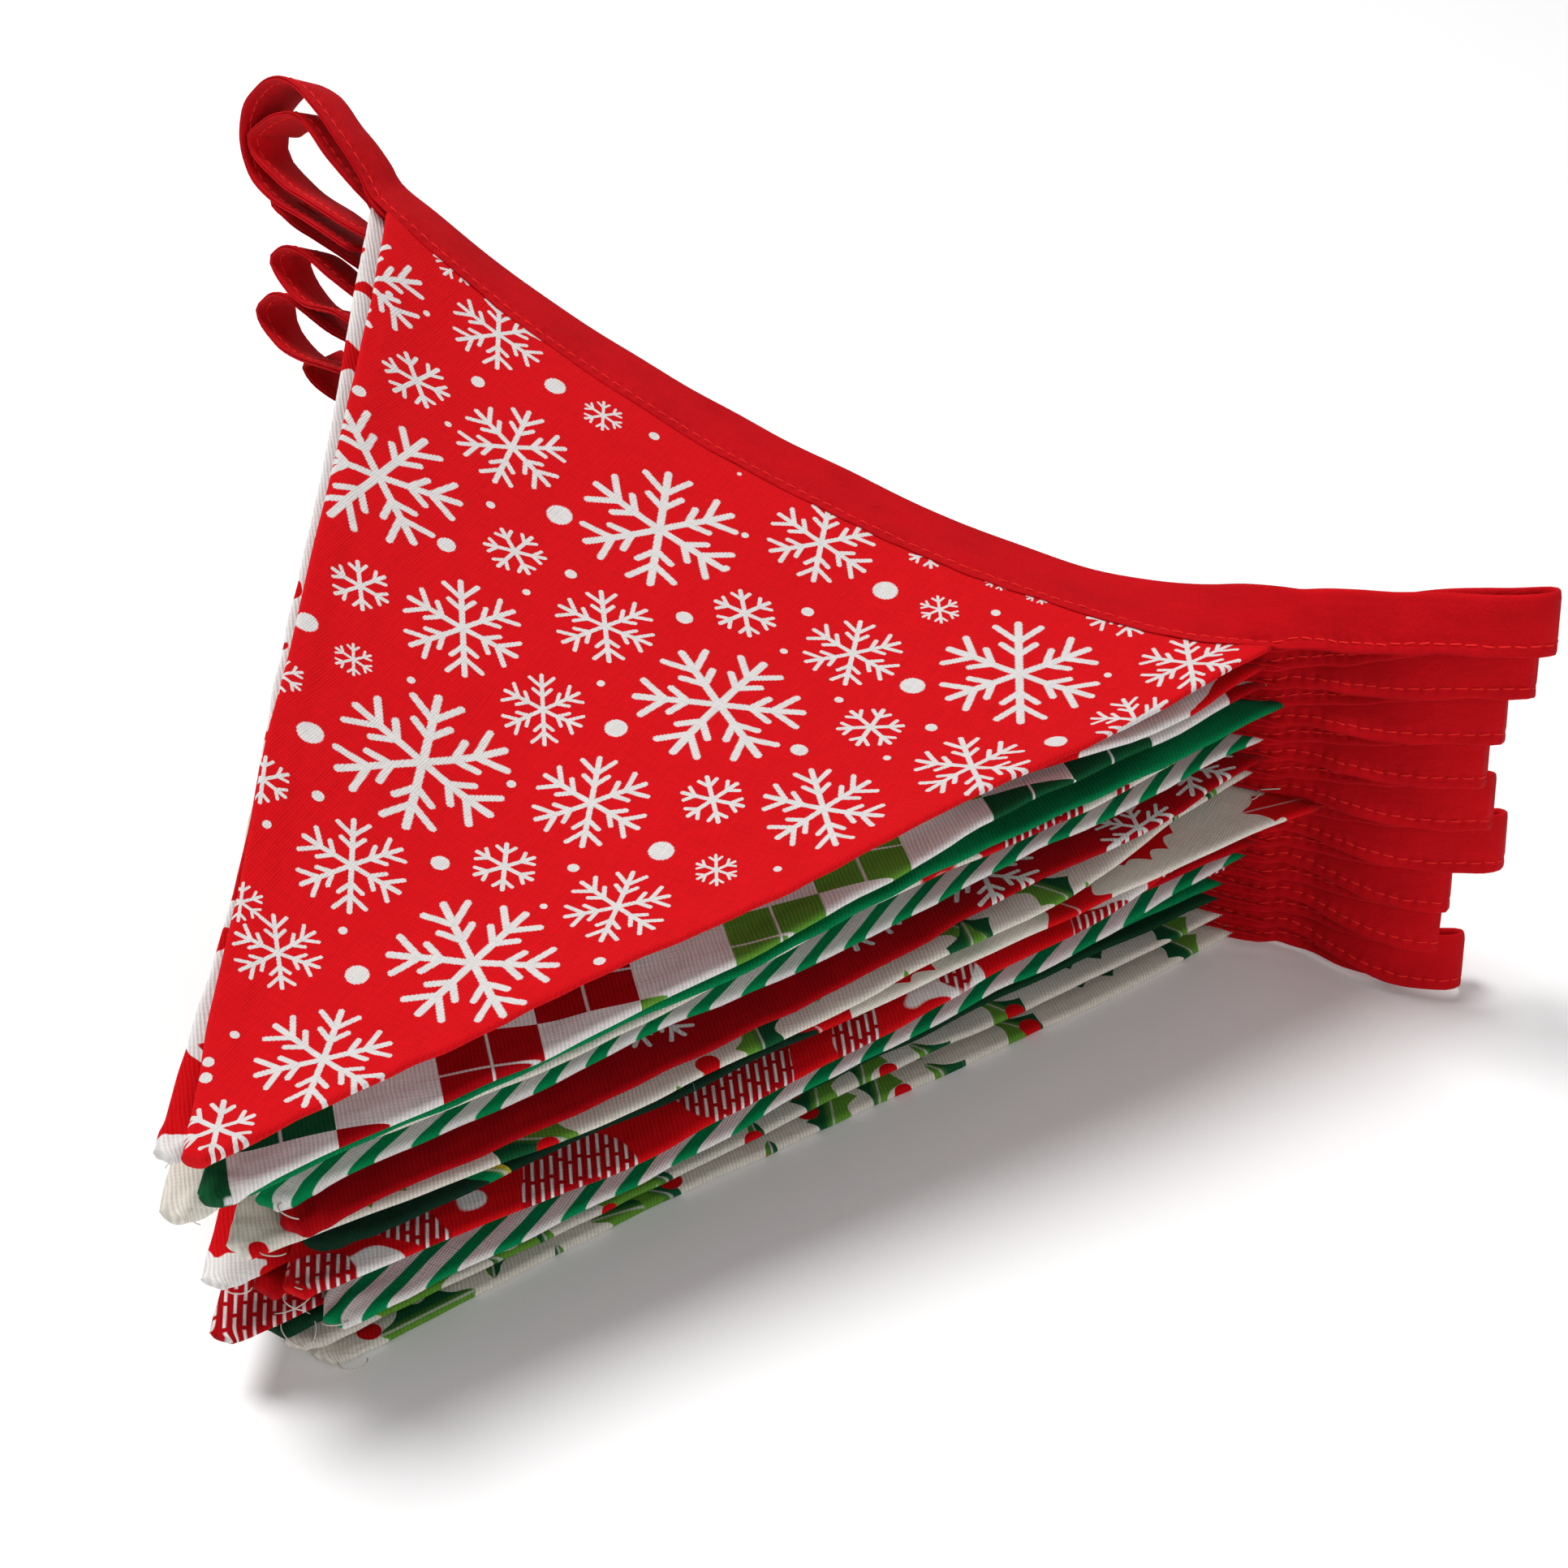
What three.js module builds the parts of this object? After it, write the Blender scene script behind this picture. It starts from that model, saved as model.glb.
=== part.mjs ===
import * as THREE from 'three';

// A zigzag-folded stack of triangular cotton flags on one sewn tape.
// Millimetres. +X runs along the tape, the flag tips point to -Y, +Z is up.

const TAPE_WIDTH = 12;
const TAPE_THICK = 1.3;
const FLAG_WIDTH = 207;
const FLAG_THICK = 1.5;
const TIP_WIDTH = 5;
const SEAM_GAP = 0.3;
const TOP_LEVEL = 17;
const FLOOR_REST = 0.75;
const CENTRE_X = 0.8;
const CENTRE_Y = -76.6;

const RED = 0xc81420;
const GREEN = 0x00824b;
const CREAM = 0xe1dcd0;

// One row per flag, the lowest first. cornerX is the right corner on the tape, turn the
// flag's turn in the stack in degrees, length the flag's height from tape to tip and
// leftHigh the height of its left corner.
const FLAGS = [
  { name: 'flag_01_holly', colour: CREAM, cornerX: 92.3, turn: -0.4, length: 197.0, leftHigh: 0.75 },
  { name: 'flag_02_holly_small', colour: CREAM, cornerX: 90.0, turn: -1.1, length: 199.0, leftHigh: 9.0 },
  { name: 'flag_03_dark_green', colour: 0x0f4b32, cornerX: 89.0, turn: -1.8, length: 200.0, leftHigh: 20.0 },
  { name: 'flag_04_plain_green', colour: GREEN, cornerX: 90.0, turn: -2.4, length: 200.0, leftHigh: 32.0 },
  { name: 'flag_05_red_dashes', colour: RED, cornerX: 90.9, turn: -2.7, length: 211.0, leftHigh: 44.0 },
  { name: 'flag_06_green_stripes', colour: GREEN, cornerX: 94.3, turn: 1.6, length: 193.0, leftHigh: 56.0 },
  { name: 'flag_07_plain_red', colour: RED, cornerX: 96.7, turn: -2.1, length: 202.9, leftHigh: 68.0 },
  { name: 'flag_08_candy', colour: CREAM, cornerX: 93.9, turn: -3.0, length: 209.0, leftHigh: 78.0 },
  { name: 'flag_09_leaves', colour: CREAM, cornerX: 108.0, turn: -2.4, length: 205.0, leftHigh: 85.5 },
  { name: 'flag_10_dark', colour: 0x123a2c, cornerX: 100.2, turn: 0.0, length: 193.0, leftHigh: 91.5 },
  { name: 'flag_11_holly_light', colour: CREAM, cornerX: 95.1, turn: -0.9, length: 203.2, leftHigh: 96.5 },
  { name: 'flag_12_dark_red', colour: 0xaa0a16, cornerX: 97.7, turn: 0.6, length: 194.0, leftHigh: 101.5 },
  { name: 'flag_13_green_slant', colour: GREEN, cornerX: 97.1, turn: -0.5, length: 195.4, leftHigh: 106.5 },
  { name: 'flag_14_light_check', colour: 0x5a9632, cornerX: 92.3, turn: -2.1, length: 209.0, leftHigh: 112.0 },
  { name: 'flag_15_bright_green', colour: GREEN, cornerX: 100.8, turn: -2.4, length: 207.0, leftHigh: 118.5 },
  { name: 'flag_16_check', colour: CREAM, cornerX: 97.2, turn: -0.3, length: 205.1, leftHigh: 126.5 },
  { name: 'flag_17_candy_red', colour: CREAM, cornerX: 91.5, turn: -1.2, length: 206.0, leftHigh: 131.5 },
  { name: 'flag_18_snowflakes', colour: RED, cornerX: 98.3, turn: -0.8, length: 205.8, leftHigh: 137.0 },
];

// How far the top flag's seam hangs below the straight line between its corners.
const SEAM_SAG = [
  { across: -98, sag: 0 },
  { across: -70, sag: 9.5 },
  { across: -28, sag: 16.5 },
  { across: 0, sag: 17.5 },
  { across: 28, sag: 16.6 },
  { across: 55, sag: 12.7 },
  { across: 81, sag: 6.8 },
  { across: 98, sag: 0 },
];

// How the tape leans along a run: degrees up from flat, from its sewn edge to its fold.
const TAPE_LEAN = [
  { across: -104, lean: -12 },
  { across: -84, lean: -8 },
  { across: -62, lean: 0 },
  { across: -10, lean: 12 },
  { across: 62, lean: 14 },
  { across: 80, lean: 30 },
  { across: 100, lean: 57 },
  { across: 114, lean: 75 },
];

// Side drift of the right loops behind the corner, and how the left loops curl back.
const RIGHT_DRIFT = [
  { out: 9, back: 0 },
  { out: 24, back: -4.6 },
  { out: 34, back: -4.4 },
  { out: 46, back: 0.5 },
  { out: 60, back: 8 },
];
const LEFT_CURL_PER_MM = 1.0;
const LEFT_CURL_MOST = 20;

// Right loops, the lowest first: reach past the stack, half the opening at the end and
// how far the open end bulges to the front or, below zero, to the back.
const RIGHT_LOOPS = [
  { reach: 43.5, open: 3.0, bulge: -1.9 },
  { reach: 38.9, open: 1.35, bulge: 0 },
  { reach: 39.9, open: 1.35, bulge: 0 },
  { reach: 48.4, open: 1.35, bulge: 0 },
  { reach: 45.5, open: 1.35, bulge: 0 },
  { reach: 43.5, open: 1.35, bulge: 0 },
  { reach: 45.9, open: 1.35, bulge: 0 },
  { reach: 49.9, open: 1.35, bulge: 0 },
  { reach: 52.8, open: 3.4, bulge: 2.3 },
];
const RIGHT_PITCH = 11.4;
const RIGHT_REST = 2.0;
const RIGHT_ROOT = 100;
const RIGHT_FAN = 40;
const RIGHT_HALF_GAP = 1.35;

// Left loops, the lowest first: reach and height of the far end, where the loop is
// highest and lowest, how much of its rise each strand has made by halfway, how far the
// far end has moved to the front, and the lean of its upper strand in degrees.
const LEFT_LOOPS = [
  { reach: 24.0, endHigh: 14.0, topOut: 17.0, topHigh: 20.0, lowOut: 17.0, lowHigh: 8.0, rise: 0.5, lowRise: 0.65,
    front: 0, lean: 0 },
  { reach: 22.0, endHigh: 38.0, topOut: 15.0, topHigh: 45.0, lowOut: 15.0, lowHigh: 32.0, rise: 0.5, lowRise: 0.65,
    front: 0, lean: 0 },
  { reach: 20.0, endHigh: 63.0, topOut: 13.0, topHigh: 70.0, lowOut: 13.0, lowHigh: 56.0, rise: 0.5, lowRise: 0.65,
    front: 0, lean: 0 },
  { reach: 38.5, endHigh: 86.0, topOut: 33.0, topHigh: 89.6, lowOut: 30.0, lowHigh: 81.0, rise: 0.4, lowRise: 0.65,
    front: 8, lean: 0 },
  { reach: 49.5, endHigh: 98.0, topOut: 41.0, topHigh: 105.4, lowOut: 42.0, lowHigh: 92.6, rise: 0.3, lowRise: 0.65,
    front: 3, lean: -18 },
  { reach: 40.5, endHigh: 114.0, topOut: 33.0, topHigh: 119.3, lowOut: 31.0, lowHigh: 107.6, rise: 0.62, lowRise: 1.5,
    front: 0, lean: -18 },
  { reach: 45.5, endHigh: 125.4, topOut: 37.0, topHigh: 127.2, lowOut: 37.0, lowHigh: 122.0, rise: 0.6, lowRise: 0.65,
    front: 5, lean: 0 },
  { reach: 44.0, endHigh: 141.0, topOut: 25.0, topHigh: 152.0, lowOut: 33.0, lowHigh: 135.2, rise: 0.55, lowRise: 0.65,
    front: -1, lean: 4 },
];
const LEFT_ROOT = -104;
const FRONT_BY = 36;
const TOP_END_FRONT = -2;
const TOP_END_LEAN = -25;

// The free end over the top loop, tucked in below it, and the free end on the floor.
const TOP_END = [
  { out: 10, high: 152.4 },
  { out: 20, high: 158.9 },
  { out: 29, high: 159.4 },
  { out: 38, high: 154.6 },
  { out: 44, high: 148.0 },
  { out: 46.2, high: 140.5 },
  { out: 43.6, high: 133.4 },
  { out: 36, high: 130.0 },
  { out: 26, high: 129.2 },
  { out: 17, high: 128.6 },
  { out: 8, high: 126.8 },
];
const FLOOR_END_LENGTH = 44;

const RUN_STEPS = [-104, -96, -84, -70, -55, -40, -25, -10, 6, 22, 38, 52, 62, 70, 78, 86, 93, 100];
const ACROSS_STEPS = 7;
const DOWN_STEPS = 6;

const radians = THREE.MathUtils.degToRad;

function smooth(t) {
  const c = Math.min(1, Math.max(0, t));
  return c * c * (3 - 2 * c);
}

function blend(a, b, t) {
  return a + (b - a) * t;
}

// A smooth curve through a short table, straight beyond its ends.
function along(table, key, value, at) {
  const last = table.length - 1;
  const slopeBetween = (i, j) => (table[j][value] - table[i][value]) / (table[j][key] - table[i][key]);
  if (at <= table[0][key]) {
    return table[0][value] + slopeBetween(0, 1) * (at - table[0][key]);
  }
  if (at >= table[last][key]) {
    return table[last][value] + slopeBetween(last - 1, last) * (at - table[last][key]);
  }
  let i = 0;
  while (at > table[i + 1][key]) {
    i += 1;
  }
  const span = table[i + 1][key] - table[i][key];
  const t = (at - table[i][key]) / span;
  const slopeIn = i > 0 ? slopeBetween(i - 1, i + 1) : slopeBetween(0, 1);
  const slopeOut = i + 1 < last ? slopeBetween(i, i + 2) : slopeBetween(last - 1, last);
  const t2 = t * t;
  const t3 = t2 * t;
  return (2 * t3 - 3 * t2 + 1) * table[i][value] + (t3 - 2 * t2 + t) * span * slopeIn
    + (-2 * t3 + 3 * t2) * table[i + 1][value] + (t3 - t2) * span * slopeOut;
}

function held(table, key, value, at) {
  const first = table[0][key];
  const last = table[table.length - 1][key];
  return along(table, key, value, Math.min(last, Math.max(first, at)));
}

// Heights of the stack: corner and tip heights of a level, then its whole surface.
const RIGHT_HIGH = 83;
const TIP_HIGH = 60;
const TIP_PITCH = 2.2;
const SEAM_HALF = 98;
const TIP_LEAD = -14;
const TIP_PLAN_Y = -196;

function rightHigh(level) {
  return blend(FLOOR_REST, RIGHT_HIGH, level / TOP_LEVEL);
}

function tipHigh(level) {
  const even = FLOOR_REST + TIP_PITCH * level;
  const spare = TIP_HIGH - FLOOR_REST - TIP_PITCH * TOP_LEVEL;
  return even + spare * (level / TOP_LEVEL) ** 1.6;
}

function seamHigh(level, x) {
  const share = (x + SEAM_HALF) / (2 * SEAM_HALF);
  const straight = blend(FLAGS[level].leftHigh, rightHigh(level), share);
  const sag = along(SEAM_SAG, 'across', 'sag', Math.max(-112, Math.min(110, x)));
  return straight - sag * level / TOP_LEVEL;
}

function surfaceHigh(level, x, y) {
  const down = Math.max(0, y / TIP_PLAN_Y);
  const onSeam = (x - TIP_LEAD * down) / (1 - 0.9 * Math.min(1, down));
  const seamX = Math.max(-112, Math.min(110, onSeam));
  return blend(seamHigh(level, seamX), tipHigh(level), Math.min(1.05, down));
}

// Plan of a flag: its corners from its flat size and the heights they lie at.
const CORNER_BACK = 18;

function flagPlan(level) {
  const flag = FLAGS[level];
  const backRight = CORNER_BACK * (1 - level / TOP_LEVEL);
  const seamRise = flag.leftHigh - rightHigh(level);
  const seamRun = Math.sqrt((0.985 * FLAG_WIDTH) ** 2 - seamRise ** 2);
  const side = 0.99 * Math.hypot(FLAG_WIDTH / 2, flag.length);
  const rightRun = Math.sqrt(side ** 2 - (rightHigh(level) - tipHigh(level)) ** 2);
  const leftRun = Math.sqrt(side ** 2 - (flag.leftHigh - tipHigh(level)) ** 2);
  const foot = (leftRun ** 2 - rightRun ** 2 + seamRun ** 2) / (2 * seamRun);
  const drop = Math.sqrt(leftRun ** 2 - foot ** 2);
  const cos = Math.cos(radians(flag.turn));
  const sin = Math.sin(radians(flag.turn));
  const left = { x: flag.cornerX - seamRun * cos, y: backRight - seamRun * sin };
  const right = { x: flag.cornerX, y: backRight };
  const tip = { x: left.x + foot * cos + drop * sin, y: left.y + foot * sin - drop * cos };
  return { left, right, tip };
}

const PLANS = FLAGS.map((_, level) => flagPlan(level));

function seamY(level, x) {
  const { left, right } = PLANS[level];
  return blend(left.y, right.y, (x - left.x) / (right.x - left.x));
}

function closedMesh(name, colour, points, faces) {
  const geometry = new THREE.BufferGeometry();
  const positions = new Float32Array(points.length * 3);
  points.forEach((p, i) => {
    positions[3 * i] = p.x - CENTRE_X;
    positions[3 * i + 1] = p.y - CENTRE_Y;
    positions[3 * i + 2] = p.z;
  });
  geometry.setAttribute('position', new THREE.BufferAttribute(positions, 3));
  geometry.setIndex(faces);
  geometry.computeVertexNormals();
  const material = new THREE.MeshStandardMaterial({ color: colour, roughness: 0.9, metalness: 0 });
  const mesh = new THREE.Mesh(geometry, material);
  mesh.name = name;
  return mesh;
}

// A flag: a grid from the seam down to its blunt tip, one face above and one below.
function flagMesh(level) {
  const { left, right, tip } = PLANS[level];
  const points = [];
  for (const side of [0.5, -0.5]) {
    for (let j = 0; j <= DOWN_STEPS; j += 1) {
      for (let i = 0; i <= ACROSS_STEPS; i += 1) {
        const u = i / ACROSS_STEPS;
        const v = j / DOWN_STEPS;
        const tipX = tip.x + (u - 0.5) * TIP_WIDTH;
        const x = blend(blend(left.x, right.x, u), tipX, v);
        const y = blend(blend(left.y, right.y, u), tip.y, v);
        points.push(new THREE.Vector3(x, y, surfaceHigh(level, x, y) + side * FLAG_THICK));
      }
    }
  }
  const row = ACROSS_STEPS + 1;
  const sheet = row * (DOWN_STEPS + 1);
  const faces = [];
  for (let j = 0; j < DOWN_STEPS; j += 1) {
    for (let i = 0; i < ACROSS_STEPS; i += 1) {
      const a = j * row + i;
      const b = a + 1;
      const c = a + row;
      const d = c + 1;
      faces.push(a, c, b, b, c, d);
      faces.push(sheet + a, sheet + b, sheet + c, sheet + b, sheet + d, sheet + c);
    }
  }
  const rim = [];
  for (let i = 0; i < ACROSS_STEPS; i += 1) rim.push(i);
  for (let j = 0; j < DOWN_STEPS; j += 1) rim.push(j * row + ACROSS_STEPS);
  for (let i = ACROSS_STEPS; i > 0; i -= 1) rim.push(DOWN_STEPS * row + i);
  for (let j = DOWN_STEPS; j > 0; j -= 1) rim.push(j * row);
  rim.forEach((p, i) => {
    const q = rim[(i + 1) % rim.length];
    faces.push(p, q, sheet + p, q, sheet + q, sheet + p);
  });
  return closedMesh(FLAGS[level].name, FLAGS[level].colour, points, faces);
}

// Tape stations: a point on the sewn edge and the direction to the folded edge.
function station(point, across) {
  return { point, across: across.clone().normalize() };
}

function runLean(level, x) {
  const lean = held(TAPE_LEAN, 'across', 'lean', x);
  const nearFloor = Math.min(1, level / 3);
  return radians(lean < 0 ? lean * nearFloor : lean);
}

function runStation(level, x) {
  const lean = runLean(level, x);
  const y = seamY(level, x);
  const z = surfaceHigh(level, x, y);
  const back = SEAM_GAP + TAPE_THICK / 2 * Math.abs(Math.sin(lean));
  return station(new THREE.Vector3(x, y + back, z), new THREE.Vector3(0, Math.cos(lean), Math.sin(lean)));
}

function runStations(level) {
  const stations = RUN_STEPS.map((x) => runStation(level, x));
  return level % 2 === 1 ? stations : stations.reverse();
}

function rightLoop(index) {
  const loop = RIGHT_LOOPS[index];
  const upper = runStation(2 * index + 1, RIGHT_ROOT).point;
  const lower = runStation(2 * index, RIGHT_ROOT).point;
  const middle = upper.clone().add(lower).multiplyScalar(0.5);
  const high = RIGHT_REST + RIGHT_PITCH * index;
  const place = (out, offset, side) => {
    const lean = runLean(TOP_LEVEL, RIGHT_ROOT + out);
    const fan = smooth(out / RIGHT_FAN);
    const drift = held(RIGHT_DRIFT, 'out', 'back', out);
    const ahead = held(RIGHT_DRIFT, 'out', 'back', out + 0.5);
    const heading = Math.atan2(ahead - drift, 0.5);
    const root = side > 0 ? upper : lower;
    const far = new THREE.Vector3(0, -Math.sin(lean) * offset, Math.cos(lean) * offset);
    const y = blend(root.y, middle.y + far.y, fan) + drift;
    const z = blend(root.z, high + far.z, fan);
    const across = new THREE.Vector3(
      -Math.sin(heading) * Math.cos(lean), Math.cos(heading) * Math.cos(lean), Math.sin(lean));
    return station(new THREE.Vector3(RIGHT_ROOT + out, y, z), across);
  };
  const widenAt = (out) => smooth((out - loop.reach + 24) / 16);
  const bulgeAt = (out) => loop.bulge * widenAt(out);
  const gapAt = (out) => blend(RIGHT_HALF_GAP, loop.open, widenAt(out));
  const outward = [];
  const turnFrom = loop.reach - loop.open;
  for (let out = 5; out < turnFrom - 2; out += 5) {
    outward.push(out);
  }
  outward.push(turnFrom);
  const stations = outward.map((out) => place(out, bulgeAt(out) + gapAt(out), 1));
  for (const turn of [30, 60, 90, 120, 150]) {
    const out = turnFrom + loop.open * Math.sin(radians(turn));
    const offset = loop.open * Math.cos(radians(turn));
    stations.push(place(out, bulgeAt(out) + offset, offset));
  }
  outward.reverse().forEach((out) => stations.push(place(out, bulgeAt(out) - gapAt(out), -1)));
  return stations;
}

// The left loops stand on a curtain that leaves the stack to -X and curls to the back.
function curtain(out) {
  const curl = Math.min(out * LEFT_CURL_PER_MM, LEFT_CURL_MOST);
  const heading = radians(Math.max(0, curl));
  const perMm = radians(LEFT_CURL_PER_MM);
  const bendLength = Math.min(Math.max(out, 0), LEFT_CURL_MOST / LEFT_CURL_PER_MM);
  const straight = Math.max(0, out - bendLength);
  const alongBend = Math.sin(bendLength * perMm) / perMm;
  const backBend = (1 - Math.cos(bendLength * perMm)) / perMm;
  const x = LEFT_ROOT - alongBend - straight * Math.cos(heading);
  const y = backBend + straight * Math.sin(heading);
  return { x, y, heading };
}

function curtainStation(out, z, baseY, lean) {
  const { x, y, heading } = curtain(out);
  const across = new THREE.Vector3(
    Math.sin(heading) * Math.cos(lean), Math.cos(heading) * Math.cos(lean), Math.sin(lean));
  return station(new THREE.Vector3(x, baseY + y, z), across);
}

function leftLoop(index) {
  const loop = LEFT_LOOPS[index];
  const upper = runStation(2 * index + 2, LEFT_ROOT).point;
  const lower = runStation(2 * index + 1, LEFT_ROOT).point;
  const shape = [
    { out: 0, high: upper.z },
    { out: 0.5 * loop.topOut, high: blend(upper.z, loop.topHigh, loop.rise) },
    { out: loop.topOut, high: loop.topHigh },
    { out: loop.reach, high: loop.endHigh },
    { out: loop.lowOut, high: loop.lowHigh },
    { out: 0.5 * loop.lowOut, high: blend(lower.z, loop.lowHigh, loop.lowRise) },
    { out: 0, high: lower.z },
  ];
  return curtainPath(shape, 2 * index + 1, upper.y, lower.y, loop.front, loop.lean, true);
}

// A smooth path through points of the curtain, as evenly spaced stations.
function curtainPath(shape, level, startY, endY, front, strandLean, closedEnds) {
  const curve = new THREE.CatmullRomCurve3(
    shape.map((p) => new THREE.Vector3(p.out, p.high, 0)), false, 'centripetal');
  const count = Math.max(12, Math.round(curve.getLength() / 4));
  const stations = [];
  const last = closedEnds ? count - 1 : count;
  for (let i = 1; i <= last; i += 1) {
    const t = i / count;
    const p = curve.getPointAt(t);
    const leaving = smooth(p.x / 12);
    const upperLean = radians(strandLean) * (1 - smooth((t - 0.3) / 0.2));
    const lean = blend(runLean(level, LEFT_ROOT), upperLean, leaving);
    const baseY = blend(startY, endY, smooth(t)) - front * smooth(p.x / FRONT_BY);
    stations.push(curtainStation(p.x, p.y, baseY, lean));
  }
  return stations;
}

function topEnd() {
  const root = runStation(TOP_LEVEL, LEFT_ROOT).point;
  const shape = [{ out: 0, high: root.z }, ...TOP_END];
  const endY = seamY(TOP_LEVEL - 2, LEFT_ROOT);
  return curtainPath(shape, TOP_LEVEL, root.y, endY, TOP_END_FRONT, TOP_END_LEAN, false).reverse();
}

function floorEnd() {
  const root = runStation(0, LEFT_ROOT).point;
  const shape = [];
  for (let i = 0; i <= 4; i += 1) {
    shape.push({ out: FLOOR_END_LENGTH * i / 4, high: blend(root.z, FLOOR_REST, i / 4) });
  }
  return curtainPath(shape, 0, root.y, root.y, 0, 0, false);
}

function tapeStations() {
  const stations = topEnd();
  for (let level = TOP_LEVEL; level >= 0; level -= 1) {
    stations.push(...runStations(level));
    if (level % 2 === 1) {
      stations.push(...rightLoop((level - 1) / 2));
    } else if (level > 0) {
      stations.push(...leftLoop(level / 2 - 1));
    }
  }
  stations.push(...floorEnd());
  return stations;
}

function tapeMesh() {
  const stations = tapeStations();
  const points = [];
  stations.forEach(({ point, across }, i) => {
    const before = stations[Math.max(0, i - 1)].point;
    const after = stations[Math.min(stations.length - 1, i + 1)].point;
    const ahead = after.clone().sub(before).normalize();
    const side = across.clone().addScaledVector(ahead, -across.dot(ahead)).normalize();
    const face = ahead.clone().cross(side).multiplyScalar(TAPE_THICK / 2);
    const fold = point.clone().addScaledVector(side, TAPE_WIDTH);
    points.push(point.clone().add(face), fold.clone().add(face));
    points.push(fold.clone().sub(face), point.clone().sub(face));
  });
  const faces = [0, 1, 2, 0, 2, 3];
  for (let i = 0; i < stations.length - 1; i += 1) {
    for (let c = 0; c < 4; c += 1) {
      const a = 4 * i + c;
      const b = 4 * i + (c + 1) % 4;
      faces.push(a, a + 4, b, b, a + 4, b + 4);
    }
  }
  const end = 4 * (stations.length - 1);
  faces.push(end, end + 2, end + 1, end, end + 3, end + 2);
  return closedMesh('tape', RED, points, faces);
}

const stack = new THREE.Group();
stack.name = 'folded_bunting';
FLAGS.forEach((_, level) => stack.add(flagMesh(level)));
stack.add(tapeMesh());

export default stack;
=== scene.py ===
import math
import random

import bpy
import numpy as np
from mathutils import Matrix, Vector


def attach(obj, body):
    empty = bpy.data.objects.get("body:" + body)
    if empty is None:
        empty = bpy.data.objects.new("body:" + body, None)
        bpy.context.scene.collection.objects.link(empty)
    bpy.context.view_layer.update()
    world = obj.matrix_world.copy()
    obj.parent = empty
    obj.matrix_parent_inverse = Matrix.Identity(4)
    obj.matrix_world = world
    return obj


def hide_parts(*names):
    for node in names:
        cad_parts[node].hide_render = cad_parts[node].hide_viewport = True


# A zigzag-folded stack of printed cotton flags on one red tape.
# Lengths are millimetres until a mesh is made; +X runs along the tape, the tips point to -Y.
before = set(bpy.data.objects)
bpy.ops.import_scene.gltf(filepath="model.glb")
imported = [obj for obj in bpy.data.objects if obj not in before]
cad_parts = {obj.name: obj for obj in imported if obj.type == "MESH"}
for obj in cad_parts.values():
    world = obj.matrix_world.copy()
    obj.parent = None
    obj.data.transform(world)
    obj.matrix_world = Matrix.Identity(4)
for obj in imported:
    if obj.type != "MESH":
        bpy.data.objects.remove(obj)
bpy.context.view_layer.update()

MM = 0.001
CENTRE_X = 0.8
CENTRE_Y = -76.6
TAPE_HALF_THICK = 0.65
FLAG_WIDTH = 207
TIP_WIDTH = 5
SEAM_GAP = 0.3
TOP_LEVEL = 17
FLOOR_REST = 0.75
FLOOR_CLEAR = 0.05

# Columns: node, print, right corner on the tape, turn in degrees, length, left corner height.
FLAGS = [
    ("flag_01_holly", "holly", 92.3, -0.4, 197, 0.75),
    ("flag_02_holly_small", "holly", 90, -1.1, 199, 9),
    ("flag_03_dark_green", "deep_green", 89, -1.8, 200, 20),
    ("flag_04_plain_green", "green", 90, -2.4, 200, 32),
    ("flag_05_red_dashes", "dashes", 90.9, -2.7, 211, 44),
    ("flag_06_green_stripes", "stripes", 94.3, 1.6, 193, 56),
    ("flag_07_plain_red", "red", 96.7, -2.1, 202.9, 68),
    ("flag_08_candy", "candy", 93.9, -3, 209, 78),
    ("flag_09_leaves", "leaves", 108, -2.4, 205, 85.5),
    ("flag_10_dark", "mixed", 100.2, 0, 193, 91.5),
    ("flag_11_holly_light", "holly", 95.1, -0.9, 203.2, 96.5),
    ("flag_12_dark_red", "dark_red", 97.7, 0.6, 194, 101.5),
    ("flag_13_green_slant", "twist", 97.1, -0.5, 195.4, 106.5),
    ("flag_14_light_check", "sprig", 92.3, -2.1, 209, 112),
    ("flag_15_bright_green", "green", 100.8, -2.4, 207, 118.5),
    ("flag_16_check", "check", 97.2, -0.3, 205.1, 126.5),
    ("flag_17_candy_red", "candy", 91.5, -1.2, 206, 131.5),
    ("flag_18_snowflakes", "snow", 98.3, -0.8, 205.8, 137),
]

# Columns: place along the seam, value.
SEAM_SAG = [(-98, 0), (-70, 9.5), (-28, 16.5), (0, 17.5), (28, 16.6), (55, 12.7), (81, 6.8), (98, 0)]
TAPE_LEAN = [(-104, -12), (-84, -8), (-62, 0), (-10, 12), (62, 14), (80, 30), (100, 57), (114, 75)]
RIGHT_DRIFT = [(9, 0), (24, -4.6), (34, -4.4), (46, 0.5), (60, 8)]

# Right loops, the lowest first. Columns: reach, half opening at the end, bulge to the front.
RIGHT_LOOPS = [
    (43.5, 3, -1.9),
    (38.9, 1.35, 0),
    (39.9, 1.35, 0),
    (48.4, 3, -1.9),
    (45.5, 1.35, 0),
    (43.5, 1.35, 0),
    (45.9, 1.35, 0),
    (49.9, 1.35, 0),
    (52.8, 3.4, 2.3),
]
RIGHT_PITCH = 11.4
RIGHT_REST = 2
RIGHT_ROOT = 100
RIGHT_FAN = 40
RIGHT_HALF_GAP = 1.35
RIGHT_SPACING = 5
WIDEN_LENGTH = 24
WIDEN_BY = 16
DRIFT_PROBE = 0.5

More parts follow.
